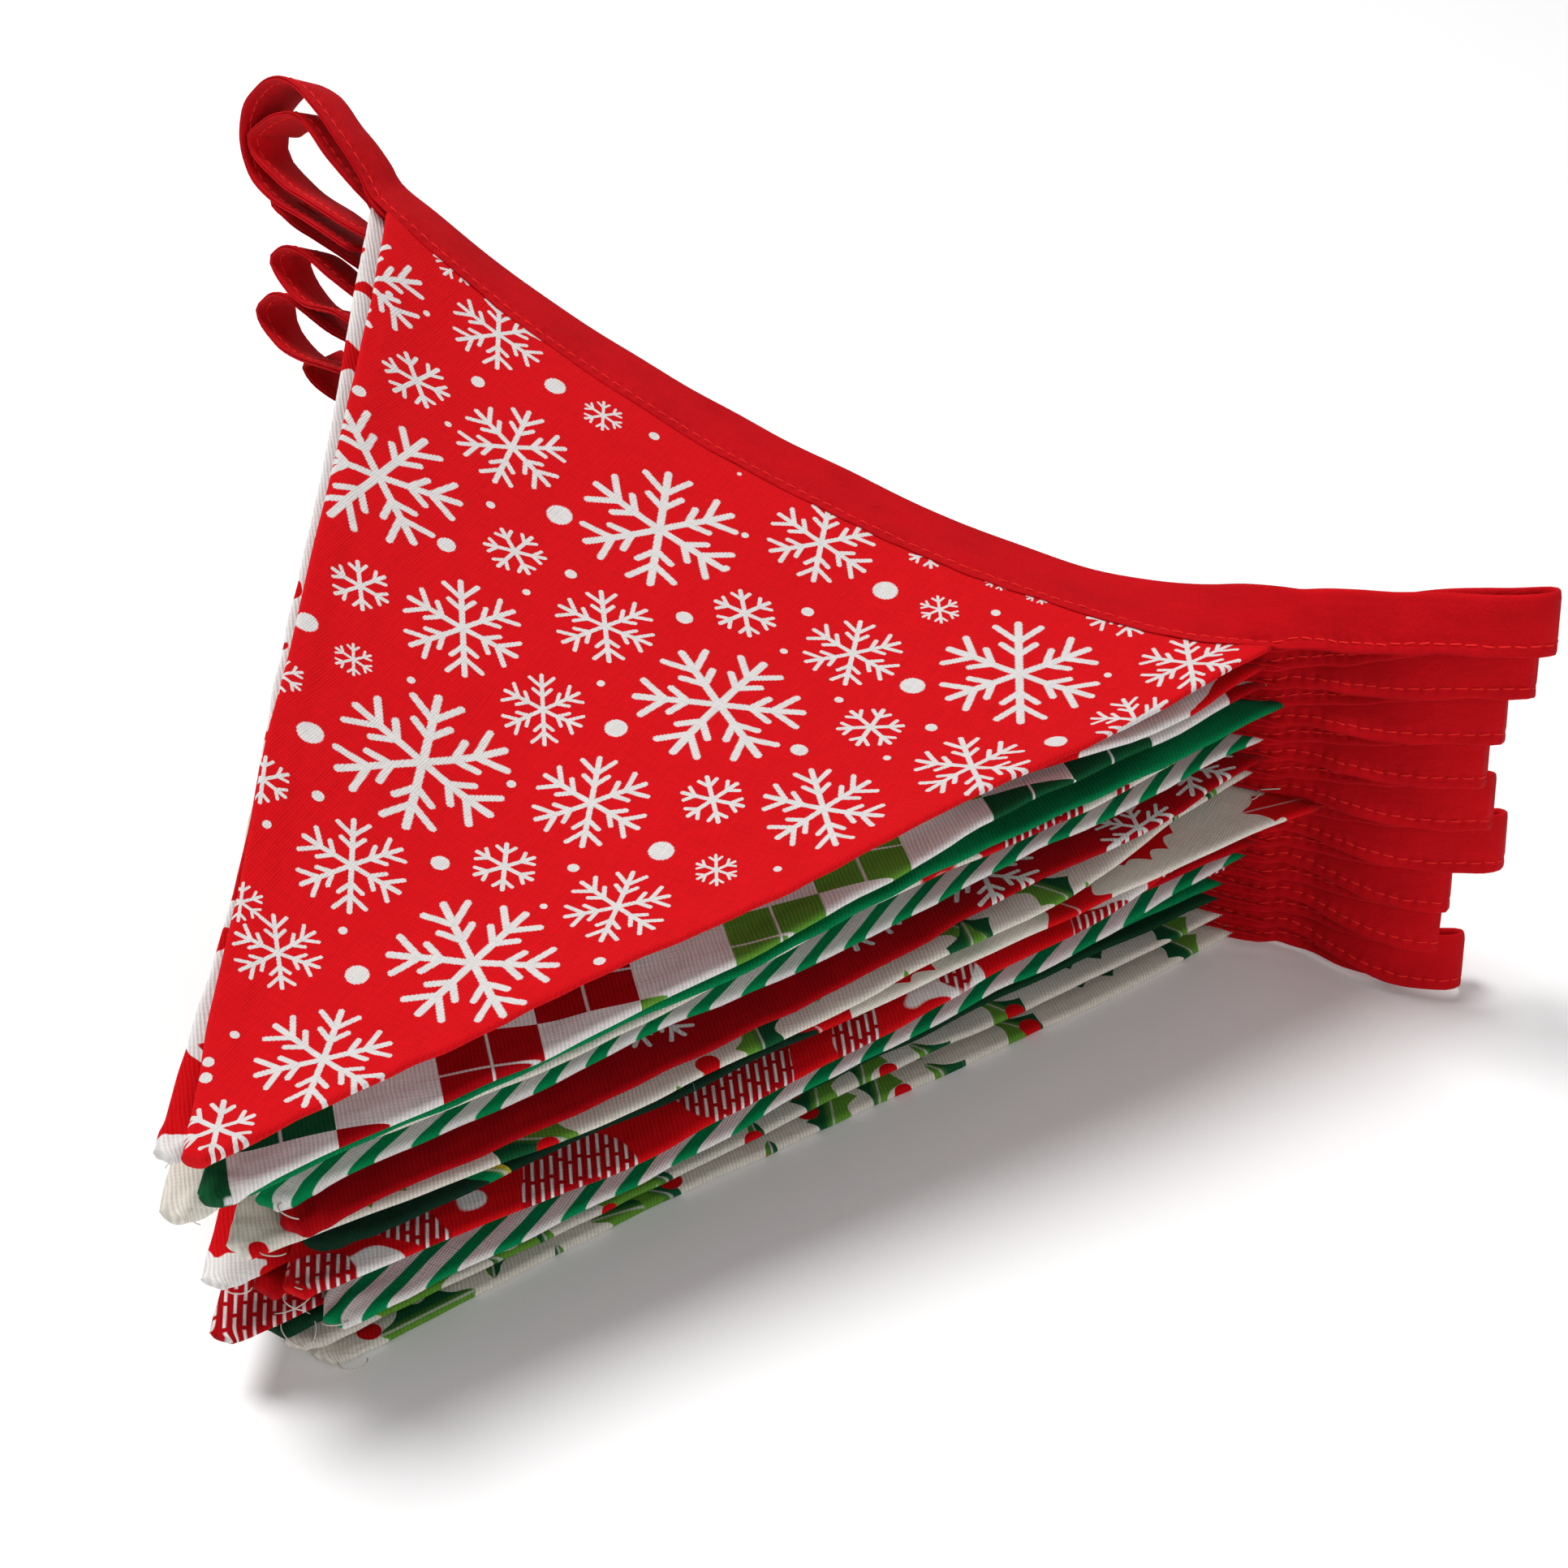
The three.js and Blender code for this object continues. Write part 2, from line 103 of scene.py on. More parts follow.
# Left loops, the lowest first. Columns: reach, height of the end, place and height of the
# highest point, place and height of the lowest point, rise made by halfway on the upper and
# on the lower strand, move of the end to the front, lean of the upper strand in degrees.
LEFT_LOOPS = [
    (24, 14, 17, 20, 17, 8, 0.5, 0.65, 0, 0),
    (22, 38, 15, 45, 15, 32, 0.5, 0.65, 0, 0),
    (20, 63, 13, 70, 13, 56, 0.5, 0.65, 0, 0),
    (38.5, 86, 33, 89.6, 30, 81, 0.4, 0.65, 8, -24),
    (49.5, 98, 41, 105.4, 42, 92.6, 0.3, 0.65, 3, -26),
    (40.5, 114, 33, 119.3, 31, 107.6, 0.62, 1.5, 0, -26),
    (45.5, 125.4, 37, 127.2, 37, 122, 0.6, 0.65, 0, -26),
    (44, 141, 25, 152, 33, 135.2, 0.55, 0.65, -1, -22),
]
FRONT_BY = 36
TOP_END_FRONT = -2
TOP_END_LEAN = -25
LEFT_ROOT = -104
LOW_STRAND_LEAN = -26
FIRST_LEANING_LOOP = 3
LEFT_SPACING = 4
LEAN_BY = 12
STRAND_TURN = 0.3
STRAND_TURN_BY = 0.2
LEFT_CURL_PER_MM = 1
LEFT_CURL_MOST = 20

# Columns: place out from the stack, height.
TOP_END = [
    (10, 152.4), (20, 158.9), (29, 159.4), (38, 154.6), (44, 148), (46.2, 140.5),
    (43.6, 133.4), (36, 130), (26, 129.2), (17, 128.6), (8, 126.8),
]
FLOOR_END_LENGTH = 44
RUN_STEPS = [-104, -96, -84, -70, -55, -40, -25, -10, 6, 22, 38, 52, 62, 70, 78, 86, 93, 100]

RIGHT_HIGH = 83
TIP_HIGH = 60
TIP_PITCH = 2.2
TIP_SWELL = 1.6
SEAM_HALF = 98
TIP_LEAD = -14
TIP_PLAN_Y = -196
CORNER_BACK = 18
FLAG_TAPER = 0.9
SEAM_FROM = -112
SEAM_TO = 110
PAST_TIP = 1.05
SEAM_TAKE_UP = 0.985
SIDE_TAKE_UP = 0.99


def smooth(t):
    c = np.clip(t, 0, 1)
    return c * c * (3 - 2 * c)


def blend(a, b, t):
    return a + (b - a) * t


# A place in axes turned by an angle, from its cosine and sine.
def in_turned_axes(x, y, cos, sin):
    return x * cos + y * sin, y * cos - x * sin


# A smooth curve through a short table, straight beyond its ends.
def along(table, at):
    keys = np.array([row[0] for row in table], float)
    values = np.array([row[1] for row in table], float)
    at = np.asarray(at, float)
    slopes = np.diff(values) / np.diff(keys)
    tangents = np.empty(len(keys))
    tangents[0] = slopes[0]
    tangents[-1] = slopes[-1]
    tangents[1:-1] = (values[2:] - values[:-2]) / (keys[2:] - keys[:-2])
    i = np.clip(np.searchsorted(keys, at, side="left") - 1, 0, len(keys) - 2)
    span = keys[i + 1] - keys[i]
    t = np.clip((at - keys[i]) / span, 0, 1)
    curve = (
        (2 * t**3 - 3 * t**2 + 1) * values[i]
        + (t**3 - 2 * t**2 + t) * span * tangents[i]
        + (3 * t**2 - 2 * t**3) * values[i + 1]
        + (t**3 - t**2) * span * tangents[i + 1]
    )
    below = np.minimum(at - keys[0], 0) * slopes[0]
    above = np.maximum(at - keys[-1], 0) * slopes[-1]
    return curve + below + above


def held(table, at):
    return along(table, np.clip(at, table[0][0], table[-1][0]))


# Heights of the stack, as in the solids.
def right_high(level):
    return blend(FLOOR_REST, RIGHT_HIGH, level / TOP_LEVEL)


def tip_high(level):
    spare = TIP_HIGH - FLOOR_REST - TIP_PITCH * TOP_LEVEL
    return FLOOR_REST + TIP_PITCH * level + spare * (level / TOP_LEVEL) ** TIP_SWELL


def surface_high(level, x, y):
    x = np.asarray(x, float)
    y = np.asarray(y, float)
    down = np.maximum(0, y / TIP_PLAN_Y)
    on_seam = (x - TIP_LEAD * down) / (1 - FLAG_TAPER * np.minimum(1, down))
    seam_x = np.clip(on_seam, SEAM_FROM, SEAM_TO)
    share = (seam_x + SEAM_HALF) / (2 * SEAM_HALF)
    straight = blend(FLAGS[level][5], right_high(level), share)
    seam = straight - along(SEAM_SAG, seam_x) * level / TOP_LEVEL
    return blend(seam, tip_high(level), np.minimum(PAST_TIP, down))


# Left, right and tip of a flag in plan.
def flag_plan(level):
    _, _, corner_x, turn, length, left_high = FLAGS[level]
    back_right = CORNER_BACK * (1 - level / TOP_LEVEL)
    seam_run = math.sqrt((SEAM_TAKE_UP * FLAG_WIDTH) ** 2 - (left_high - right_high(level)) ** 2)
    side = SIDE_TAKE_UP * math.hypot(FLAG_WIDTH / 2, length)
    right_run = math.sqrt(side**2 - (right_high(level) - tip_high(level)) ** 2)
    left_run = math.sqrt(side**2 - (left_high - tip_high(level)) ** 2)
    foot = (left_run**2 - right_run**2 + seam_run**2) / (2 * seam_run)
    drop = math.sqrt(left_run**2 - foot**2)
    cos = math.cos(math.radians(turn))
    sin = math.sin(math.radians(turn))
    right = np.array([corner_x, back_right])
    left = right - seam_run * np.array([cos, sin])
    tip = left + np.array([foot * cos + drop * sin, foot * sin - drop * cos])
    return left, right, tip


PLANS = [flag_plan(level) for level in range(len(FLAGS))]


def seam_y(level, x):
    left, right, _ = PLANS[level]
    return blend(left[1], right[1], (x - left[0]) / (right[0] - left[0]))


# Tape stations: a point on the sewn edge, the direction to the folded edge, the direction
# of the two lips, and how far they grip a flag, from 0 to 1.
LEVELS_OFF_FLOOR = 3
SLOPE_PROBE = 8
GRIP_FROM = -110
GRIP_TO = 106
GRIP_FADE = 10


def run_lean(level, x):
    lean = float(held(TAPE_LEAN, x))
    near_floor = min(1, level / LEVELS_OFF_FLOOR)
    return math.radians(lean * near_floor if lean < 0 else lean)


# The direction to the folded edge, from the tape's heading in plan and its lean.
def folded_edge_way(heading, lean):
    flat = math.cos(lean)
    return np.array([math.sin(heading) * flat, math.cos(heading) * flat, math.sin(lean)])


def run_station(level, x):
    lean = run_lean(level, x)
    y = seam_y(level, x)
    z = float(surface_high(level, x, y))
    back = SEAM_GAP + TAPE_HALF_THICK * abs(math.sin(lean))
    fall = (float(surface_high(level, x, y - SLOPE_PROBE)) - z) / SLOPE_PROBE
    lip = np.array([0, -1, fall]) / math.hypot(1, fall)
    grip = float(smooth((x - GRIP_FROM) / GRIP_FADE) * smooth((GRIP_TO - x) / GRIP_FADE))
    return np.array([x, y + back, z]), folded_edge_way(0, lean), lip, grip


def run_stations(level):
    stations = [run_station(level, x) for x in RUN_STEPS]
    return stations if level % 2 == 1 else stations[::-1]


def right_loop(index):
    reach, opening, bulge = RIGHT_LOOPS[index]
    upper = run_station(2 * index + 1, RIGHT_ROOT)[0]
    lower = run_station(2 * index, RIGHT_ROOT)[0]
    middle = (upper + lower) / 2
    high = RIGHT_REST + RIGHT_PITCH * index

    def place(out, offset, side):
        lean = run_lean(TOP_LEVEL, RIGHT_ROOT + out)
        fan = float(smooth(out / RIGHT_FAN))
        drift = float(held(RIGHT_DRIFT, out))
        ahead = float(held(RIGHT_DRIFT, out + DRIFT_PROBE))
        heading = math.atan2(ahead - drift, DRIFT_PROBE)
        root = upper if side > 0 else lower
        y = blend(root[1], middle[1] - math.sin(lean) * offset, fan) + drift
        z = blend(root[2], high + math.cos(lean) * offset, fan)
        across = folded_edge_way(-heading, lean)
        return np.array([RIGHT_ROOT + out, y, z]), across, -across, 0

    def widen(out):
        return float(smooth((out - reach + WIDEN_LENGTH) / WIDEN_BY))

    def strand(side):
        return [
            place(out, bulge * widen(out) + side * blend(RIGHT_HALF_GAP, opening, widen(out)), side)
            for out in outward
        ]

    turn_from = reach - opening
    outward = list(np.arange(RIGHT_SPACING, turn_from - 2, RIGHT_SPACING)) + [turn_from]
    stations = strand(1)
    for turn in (30, 60, 90, 120, 150):
        out = turn_from + opening * math.sin(math.radians(turn))
        offset = opening * math.cos(math.radians(turn))
        stations.append(place(out, bulge * widen(out) + offset, offset))
    return stations + strand(-1)[::-1]


# The left loops stand on a curtain that leaves the stack to -X and curls to the back.
def curtain_station(out, high, base_y, lean):
    per_mm = math.radians(LEFT_CURL_PER_MM)
    bend = min(max(out, 0), LEFT_CURL_MOST / LEFT_CURL_PER_MM)
    heading = bend * per_mm
    straight = max(0, out - bend)
    x = LEFT_ROOT - math.sin(heading) / per_mm - straight * math.cos(heading)
    y = base_y + (1 - math.cos(heading)) / per_mm + straight * math.sin(heading)
    across = folded_edge_way(heading, lean)
    return np.array([x, y, high]), across, -across, 0


# A smooth path through points, as evenly spaced ones.
FEWEST_STEPS = 12


def even_path(points, spacing):
    points = np.array(points, float)
    padded = np.vstack([2 * points[0] - points[1], points, 2 * points[-1] - points[-2]])
    fine = []
    for i in range(1, len(padded) - 2):
        p0, p1, p2, p3 = padded[i - 1 : i + 3]
        strides = [np.linalg.norm(b - a) ** 0.5 for a, b in ((p0, p1), (p1, p2), (p2, p3))]
        knots = np.concatenate([[0], np.cumsum(np.maximum(1e-6, strides))])
        t = np.linspace(knots[1], knots[2], 24, endpoint=False)[:, None]

        def mix(a, b, ta, tb):
            return a * (tb - t) / (tb - ta) + b * (t - ta) / (tb - ta)

        a1 = mix(p0, p1, knots[0], knots[1])
        a2 = mix(p1, p2, knots[1], knots[2])
        a3 = mix(p2, p3, knots[2], knots[3])
        b1 = mix(a1, a2, knots[0], knots[2])
        b2 = mix(a2, a3, knots[1], knots[3])
        fine.append(mix(b1, b2, knots[1], knots[2]))
    fine = np.vstack(fine + [padded[-2:-1]])
    gone = np.concatenate([[0], np.cumsum(np.linalg.norm(np.diff(fine, axis=0), axis=1))])
    count = max(FEWEST_STEPS, int(round(gone[-1] / spacing)))
    even = np.linspace(0, gone[-1], count + 1)
    return np.stack([np.interp(even, gone, fine[:, c]) for c in range(fine.shape[1])], 1)


def curtain_path(shape, level, start_y, end_y, front, upper, lower, closed_ends):
    path = even_path(shape, LEFT_SPACING)
    count = len(path) - 1
    last = count - 1 if closed_ends else count
    stations = []
    for i in range(1, last + 1):
        out, high = path[i]
        t = i / count
        turned = float(smooth((t - STRAND_TURN) / STRAND_TURN_BY))
        strand_lean = math.radians(blend(upper, lower, turned))
        lean = blend(run_lean(level, LEFT_ROOT), strand_lean, float(smooth(out / LEAN_BY)))
        base_y = blend(start_y, end_y, float(smooth(t))) - front * float(smooth(out / FRONT_BY))
        stations.append(curtain_station(out, high, base_y, lean))
    return stations


def left_loop(index):
    (reach, end_high, top_out, top_high, low_out, low_high,
     rise, low_rise, front, lean) = LEFT_LOOPS[index]
    upper = run_station(2 * index + 2, LEFT_ROOT)[0]
    lower = run_station(2 * index + 1, LEFT_ROOT)[0]
    shape = [
        (0, upper[2]),
        (0.5 * top_out, blend(upper[2], top_high, rise)),
        (top_out, top_high),
        (reach, end_high),
        (low_out, low_high),
        (0.5 * low_out, blend(lower[2], low_high, low_rise)),
        (0, lower[2]),
    ]
    low_lean = LOW_STRAND_LEAN if index >= FIRST_LEANING_LOOP else 0
    return curtain_path(shape, 2 * index + 1, upper[1], lower[1], front, lean, low_lean, True)


def tape_stations():
    root = run_station(TOP_LEVEL, LEFT_ROOT)[0]
    top_end = curtain_path(
        [(0, root[2])] + TOP_END, TOP_LEVEL, root[1], seam_y(TOP_LEVEL - 2, LEFT_ROOT),
        TOP_END_FRONT, TOP_END_LEAN, LOW_STRAND_LEAN, False)
    stations = top_end[::-1]
    for level in range(TOP_LEVEL, -1, -1):
        stations += run_stations(level)
        if level % 2 == 1:
            stations += right_loop((level - 1) // 2)
        elif level > 0:
            stations += left_loop(level // 2 - 1)
    root = run_station(0, LEFT_ROOT)[0]
    shape = [(FLOOR_END_LENGTH * i / 4, blend(root[2], FLOOR_REST, i / 4)) for i in range(5)]
    stations += curtain_path(shape, 0, root[1], root[1], 0, 0, 0, False)
    return stations


# Meshes.
def make_piece(name, points, faces):
    mesh = bpy.data.meshes.new(name)
    moved = (np.asarray(points, float) - [CENTRE_X, CENTRE_Y, 0]) * MM
    mesh.from_pydata(moved.tolist(), [], faces)
    mesh.update()
    mesh.shade_smooth()
    piece = bpy.data.objects.new(name, mesh)
    bpy.context.scene.collection.objects.link(piece)
    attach(piece, "root")
    return piece


def add_layer(mesh, layer, per_corner):
    mesh.uv_layers.new(name=layer).data.foreach_set("uv", per_corner.ravel())


def set_uv(piece, layer, per_point):
    corners = np.empty(len(piece.data.loops), int)
    piece.data.loops.foreach_get("vertex_index", corners)
    add_layer(piece.data, layer, per_point[corners])


# Unevenness: smooth ripples made of a few seeded waves.
WAVES = 6


def make_ripple(seed, wavelength):
    draw = random.Random(seed)
    rows = []
    for _ in range(WAVES):
        heading = draw.uniform(0, math.tau)
        length = wavelength * draw.uniform(0.6, 1.5)
        phase = draw.uniform(0, math.tau)
        rows.append((math.cos(heading) / length, math.sin(heading) / length, phase))

    def ripple(x, y):
        total = sum(np.sin(math.tau * (a * x + b * y) + phase) for a, b, phase in rows)
        return total / math.sqrt(WAVES)

    return ripple


# The tape: one folded strip, its sewn edge two lips that close in the loops and hold a
# flag's edge along the stack. Columns: out from the middle and across the width, where the
# tape is closed, then the same where it grips.
TAPE_RING_SPACING = 1.9
TAPE_SIDE = [
    (0.10, 0.55, 0.57, 0.3), (0.10, 0.05, 0.62, -2.2), (0.42, 0, 0.84, -2.4),
    (0.56, 0.45, 1.04, -2), (0.58, 1.4, 1.02, -1.2), (0.46, 2.2, 0.84, -0.4),
    (0.60, 3.1, 0.94, 0.5), (0.64, 7, 0.66, 7), (0.65, 10.6, 0.65, 10.6),
    (0.50, 11.6, 0.50, 11.6),
]
TAPE_TIP = [(0, 12, 0, 12)]
TAPE_SECTION = TAPE_SIDE + TAPE_TIP + [(-a, b, -c, d) for a, b, c, d in TAPE_SIDE[::-1]]
STITCH_LINE = 2.2
STITCH_LINE_GRIPPED = -0.4
STITCH_LIFT = 0.56
STITCH_LIFT_GRIPPED = 0.96
TURN_SHARE = 6
LIP_SHARE = 2
LIP_TURN = 0.8
WIDTH_SLACK = 0.02
LIP_WAVER = 0.13
STITCH_PULL = 0.06
PULL_REACH = 1.5
STITCH_PITCH = 2.9


def tube_faces(start, rings, sides):
    faces = []
    for ring in range(rings - 1):
        for turn in range(sides):
            a = start + ring * sides + turn
            b = start + ring * sides + (turn + 1) % sides
            faces.append((a, b, b + sides, a + sides))
    faces.append(tuple(range(start, start + sides))[::-1])
    last = start + (rings - 1) * sides
    faces.append(tuple(range(last, last + sides)))
    return faces


class TapePath:
    def __init__(self):
        rows = [
            np.concatenate([point, across * TURN_SHARE, lip * LIP_SHARE, [grip * LIP_SHARE]])
            for point, across, lip, grip in tape_stations()
        ]
        path = even_path(rows, TAPE_RING_SPACING)
        self.points = path[:, :3]
        self.grip = np.clip(path[:, 9] / LIP_SHARE, 0, 1)
        ahead = np.gradient(self.points, axis=0)
        self.ahead = ahead / np.linalg.norm(ahead, axis=1)[:, None]
        self.across = self.square(path[:, 3:6])
        self.lip = self.square(path[:, 6:9])
        self.face = np.cross(self.ahead, self.across)
        self.lip_face = -np.cross(self.ahead, self.lip)
        steps = np.linalg.norm(np.diff(self.points, axis=0), axis=1)
        self.gone = np.concatenate([[0], np.cumsum(steps)])

    def square(self, vectors):
        flat = vectors - self.ahead * np.sum(vectors * self.ahead, axis=1)[:, None]
        return flat / np.linalg.norm(flat, axis=1)[:, None]

    # The path's own values, such as its points, at a length along it.
    def at(self, length, values):
        return np.array([np.interp(length, self.gone, column) for column in values.T])

    # Points at a width and a distance out of the middle, for each ring.
    def place(self, wide, out):
        share = smooth((wide + LIP_TURN) / (2 * LIP_TURN))[..., None]
        way = np.where((wide >= 0)[..., None], self.across, -self.lip)
        normal = blend(self.lip_face, self.face, share)
        return self.points + way * wide[..., None] + normal * out[..., None]


def make_tape(path):
    sides = len(TAPE_SECTION)
    waver = make_ripple(11, 9)(path.gone, 0)
    slack = make_ripple(12, 30)(path.gone, 0)
    beat = np.sin(math.tau * path.gone / STITCH_PITCH)
    line = blend(STITCH_LINE, STITCH_LINE_GRIPPED, path.grip)
    columns = []
    widths = []
    for out, wide, out_gripped, wide_gripped in TAPE_SECTION:
        even_width = blend(wide, wide_gripped, path.grip)
        width = even_width * (1 + WIDTH_SLACK * slack)
        if wide < 1:
            width = width + LIP_WAVER * waver
        away = blend(out, out_gripped, path.grip)
        near_line = np.exp(-((width - line) / PULL_REACH) ** 2)
        away = away + math.copysign(STITCH_PULL, out) * beat * near_line
        columns.append(path.place(width, away))
        widths.append(even_width)
    widths = np.stack(widths, 1)
    places = np.stack(columns, 1).reshape(-1, 3)
    places[:, 2] = np.maximum(places[:, 2], FLOOR_CLEAR)
    tape = make_piece("bias_tape", places, tube_faces(0, len(path.gone), sides))
    set_uv(tape, "cloth", np.stack([np.repeat(path.gone, sides), widths.ravel()], 1))
    from_line = (widths - line[:, None]).ravel()
    set_uv(tape, "stitch_line", np.stack([from_line, np.repeat(path.grip, sides)], 1))
    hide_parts("tape")
    return tape


# Stitches: short bowed threads along both faces of the tape.
STITCH_LENGTH = 2.2
STITCH_RADIUS = 0.17
STITCH_STEPS = (-1, -0.45, 0.45, 1)
STITCH_STRAY = 0.12
STITCH_DIP = 0.16
THREAD_SIDES = 5
FLOOR_LIMIT = (-1000, -1000, FLOOR_CLEAR)


# The corners of a thread's cross-section.
def thread_ring(centre, radius, first, second):
    angles = [math.tau * turn / THREAD_SIDES for turn in range(THREAD_SIDES)]
    return [centre + radius * (first * math.cos(angle) + second * math.sin(angle)) for angle in angles]


def make_stitches(path):
    draw = random.Random(31)
    rows = []
    faces = []
    for place in np.arange(2, path.gone[-1] - 2, STITCH_PITCH):
        for side in (1, -1):
            off = draw.uniform(-STITCH_STRAY, STITCH_STRAY)
            slant = draw.uniform(-STITCH_STRAY, STITCH_STRAY)
            start = len(rows)
            for step in STITCH_STEPS:
                at = place + step * STITCH_LENGTH / 2
                grip = np.interp(at, path.gone, path.grip)
                line = blend(STITCH_LINE, STITCH_LINE_GRIPPED, grip) + off + slant * step
                dip = STITCH_DIP if abs(step) == 1 else 0
                lift = blend(STITCH_LIFT, STITCH_LIFT_GRIPPED, grip) - dip
                way = path.at(at, path.across) if line >= 0 else -path.at(at, path.lip)
                share = float(smooth((line + LIP_TURN) / (2 * LIP_TURN)))
                face = blend(path.at(at, path.lip_face), path.at(at, path.face), share)
                centre = path.at(at, path.points) + way * line + face * side * lift
                ring = thread_ring(centre, STITCH_RADIUS, way, face)
                rows += [np.maximum(point, FLOOR_LIMIT) for point in ring]
            faces += tube_faces(start, len(STITCH_STEPS), THREAD_SIDES)
    return make_piece("tape_stitches", rows, faces)


# A flag: two faces that meet in rounded edges, thicker over the seam allowance.
EDGE_RADIUS = 1.1
EDGE_THICK = 0.8
MIDDLE_THICK = 0.55
LOW_TIP_THICK = 1.25
TOP_TIP_THICK = 2
TIP_EDGE_RADIUS = 2.1
TIP_LENGTH = 13
ALLOWANCE = 6
TIP_ROUND = 4
ALLOWANCE_FADE = 3
TIP_CURL = (-0.3, 1.3)
TIP_TWIST = 0.12
TIP_CREASE = 0.35
TIP_FOLD = 0.12
ROW_CROWDING = 1.6
TOP_GRID = (96, 110)
LOWER_GRID = (52, 80)
common_ripple = make_ripple(21, 95)

# How far the right edges stray outward, in mm, at the shares of the way to the tip.
BOW_PLACES = (0, 0.12, 0.27, 0.5, 0.73, 1)
RIGHT_BOWS = {
    17: (0, 0.5, 1.3, 1.3, -1.3, 0),
    16: (5, 8, 0, 0, 0, 0),
    15: (0, 0, 0.2, 2.6, 1.8, 0),
    14: (0, 0.5, 0.2, 1.2, 0.7, 0),
    13: (0, 4, 4.3, 3.3, 4.3, 0),
    12: (0, 0, 0.3, 2, 0.3, 0),
    11: (0, 2.3, 2.8, 4, 2.7, 0),
    10: (0, 3.6, 8.3, 8.5, 7, 0),
    9: (8.5, 6.5, 6, 3.8, 2.3, 0),
    8: (-9, -5, 0, 2.3, 3.8, 0),
    5: (0, 1, 2.4, 1.6, 2.2, 0),
    0: (0, 1.3, 1.3, -0.5, -1.5, 0),
}
LEFT_BOWS = {
    16: (-1.2, -2, -2.4, -3.2, -4, -0.8),
    17: (-0.4, -0.8, -0.4, 0.4, 0.8, 0),
}
BOW_TO_SIDE = 1.12


# How far a side of the cloth strays from its straight line.
def edge_stray(level, side, v):
    ripple = make_ripple(100 + 2 * level + (side > 0), 0.3)
    fine = make_ripple(200 + 2 * level + (side > 0), 0.07)
    stray = (0.35 * ripple(v, 0) + 0.16 * fine(v, 0)) * smooth(v / 0.06) * smooth((1 - v) / 0.08)
    bows = (RIGHT_BOWS if side > 0 else LEFT_BOWS).get(level)
    if bows:
        stray = stray + BOW_TO_SIDE * along(list(zip(BOW_PLACES, bows)), v)
    return stray


# Ripples: common to the whole stack, then each flag's own, by the room below the next flag.
SHARED_RIPPLE = 0.8
OWN_RIPPLE = 0.55
FINE_RIPPLE = 0.16
RIPPLE_FADE = 22
LEAST_PITCH = 2.3


def flag_ripple(level, x, y, v, length):
    above = surface_high(min(level + 1, TOP_LEVEL), x, y)
    pitch = above - surface_high(min(level, TOP_LEVEL - 1), x, y)
    room = smooth((pitch - LEAST_PITCH) / 2.5)
    own = make_ripple(300 + level, 48)(x, y) * OWN_RIPPLE
    own = own + make_ripple(400 + level, 17)(x, y) * FINE_RIPPLE
    if level == TOP_LEVEL:
        room = 0.35 + 0.3 * room
    shared = common_ripple(x, y) * SHARED_RIPPLE * level / TOP_LEVEL
    return (shared + own * room) * smooth(v * length / RIPPLE_FADE)


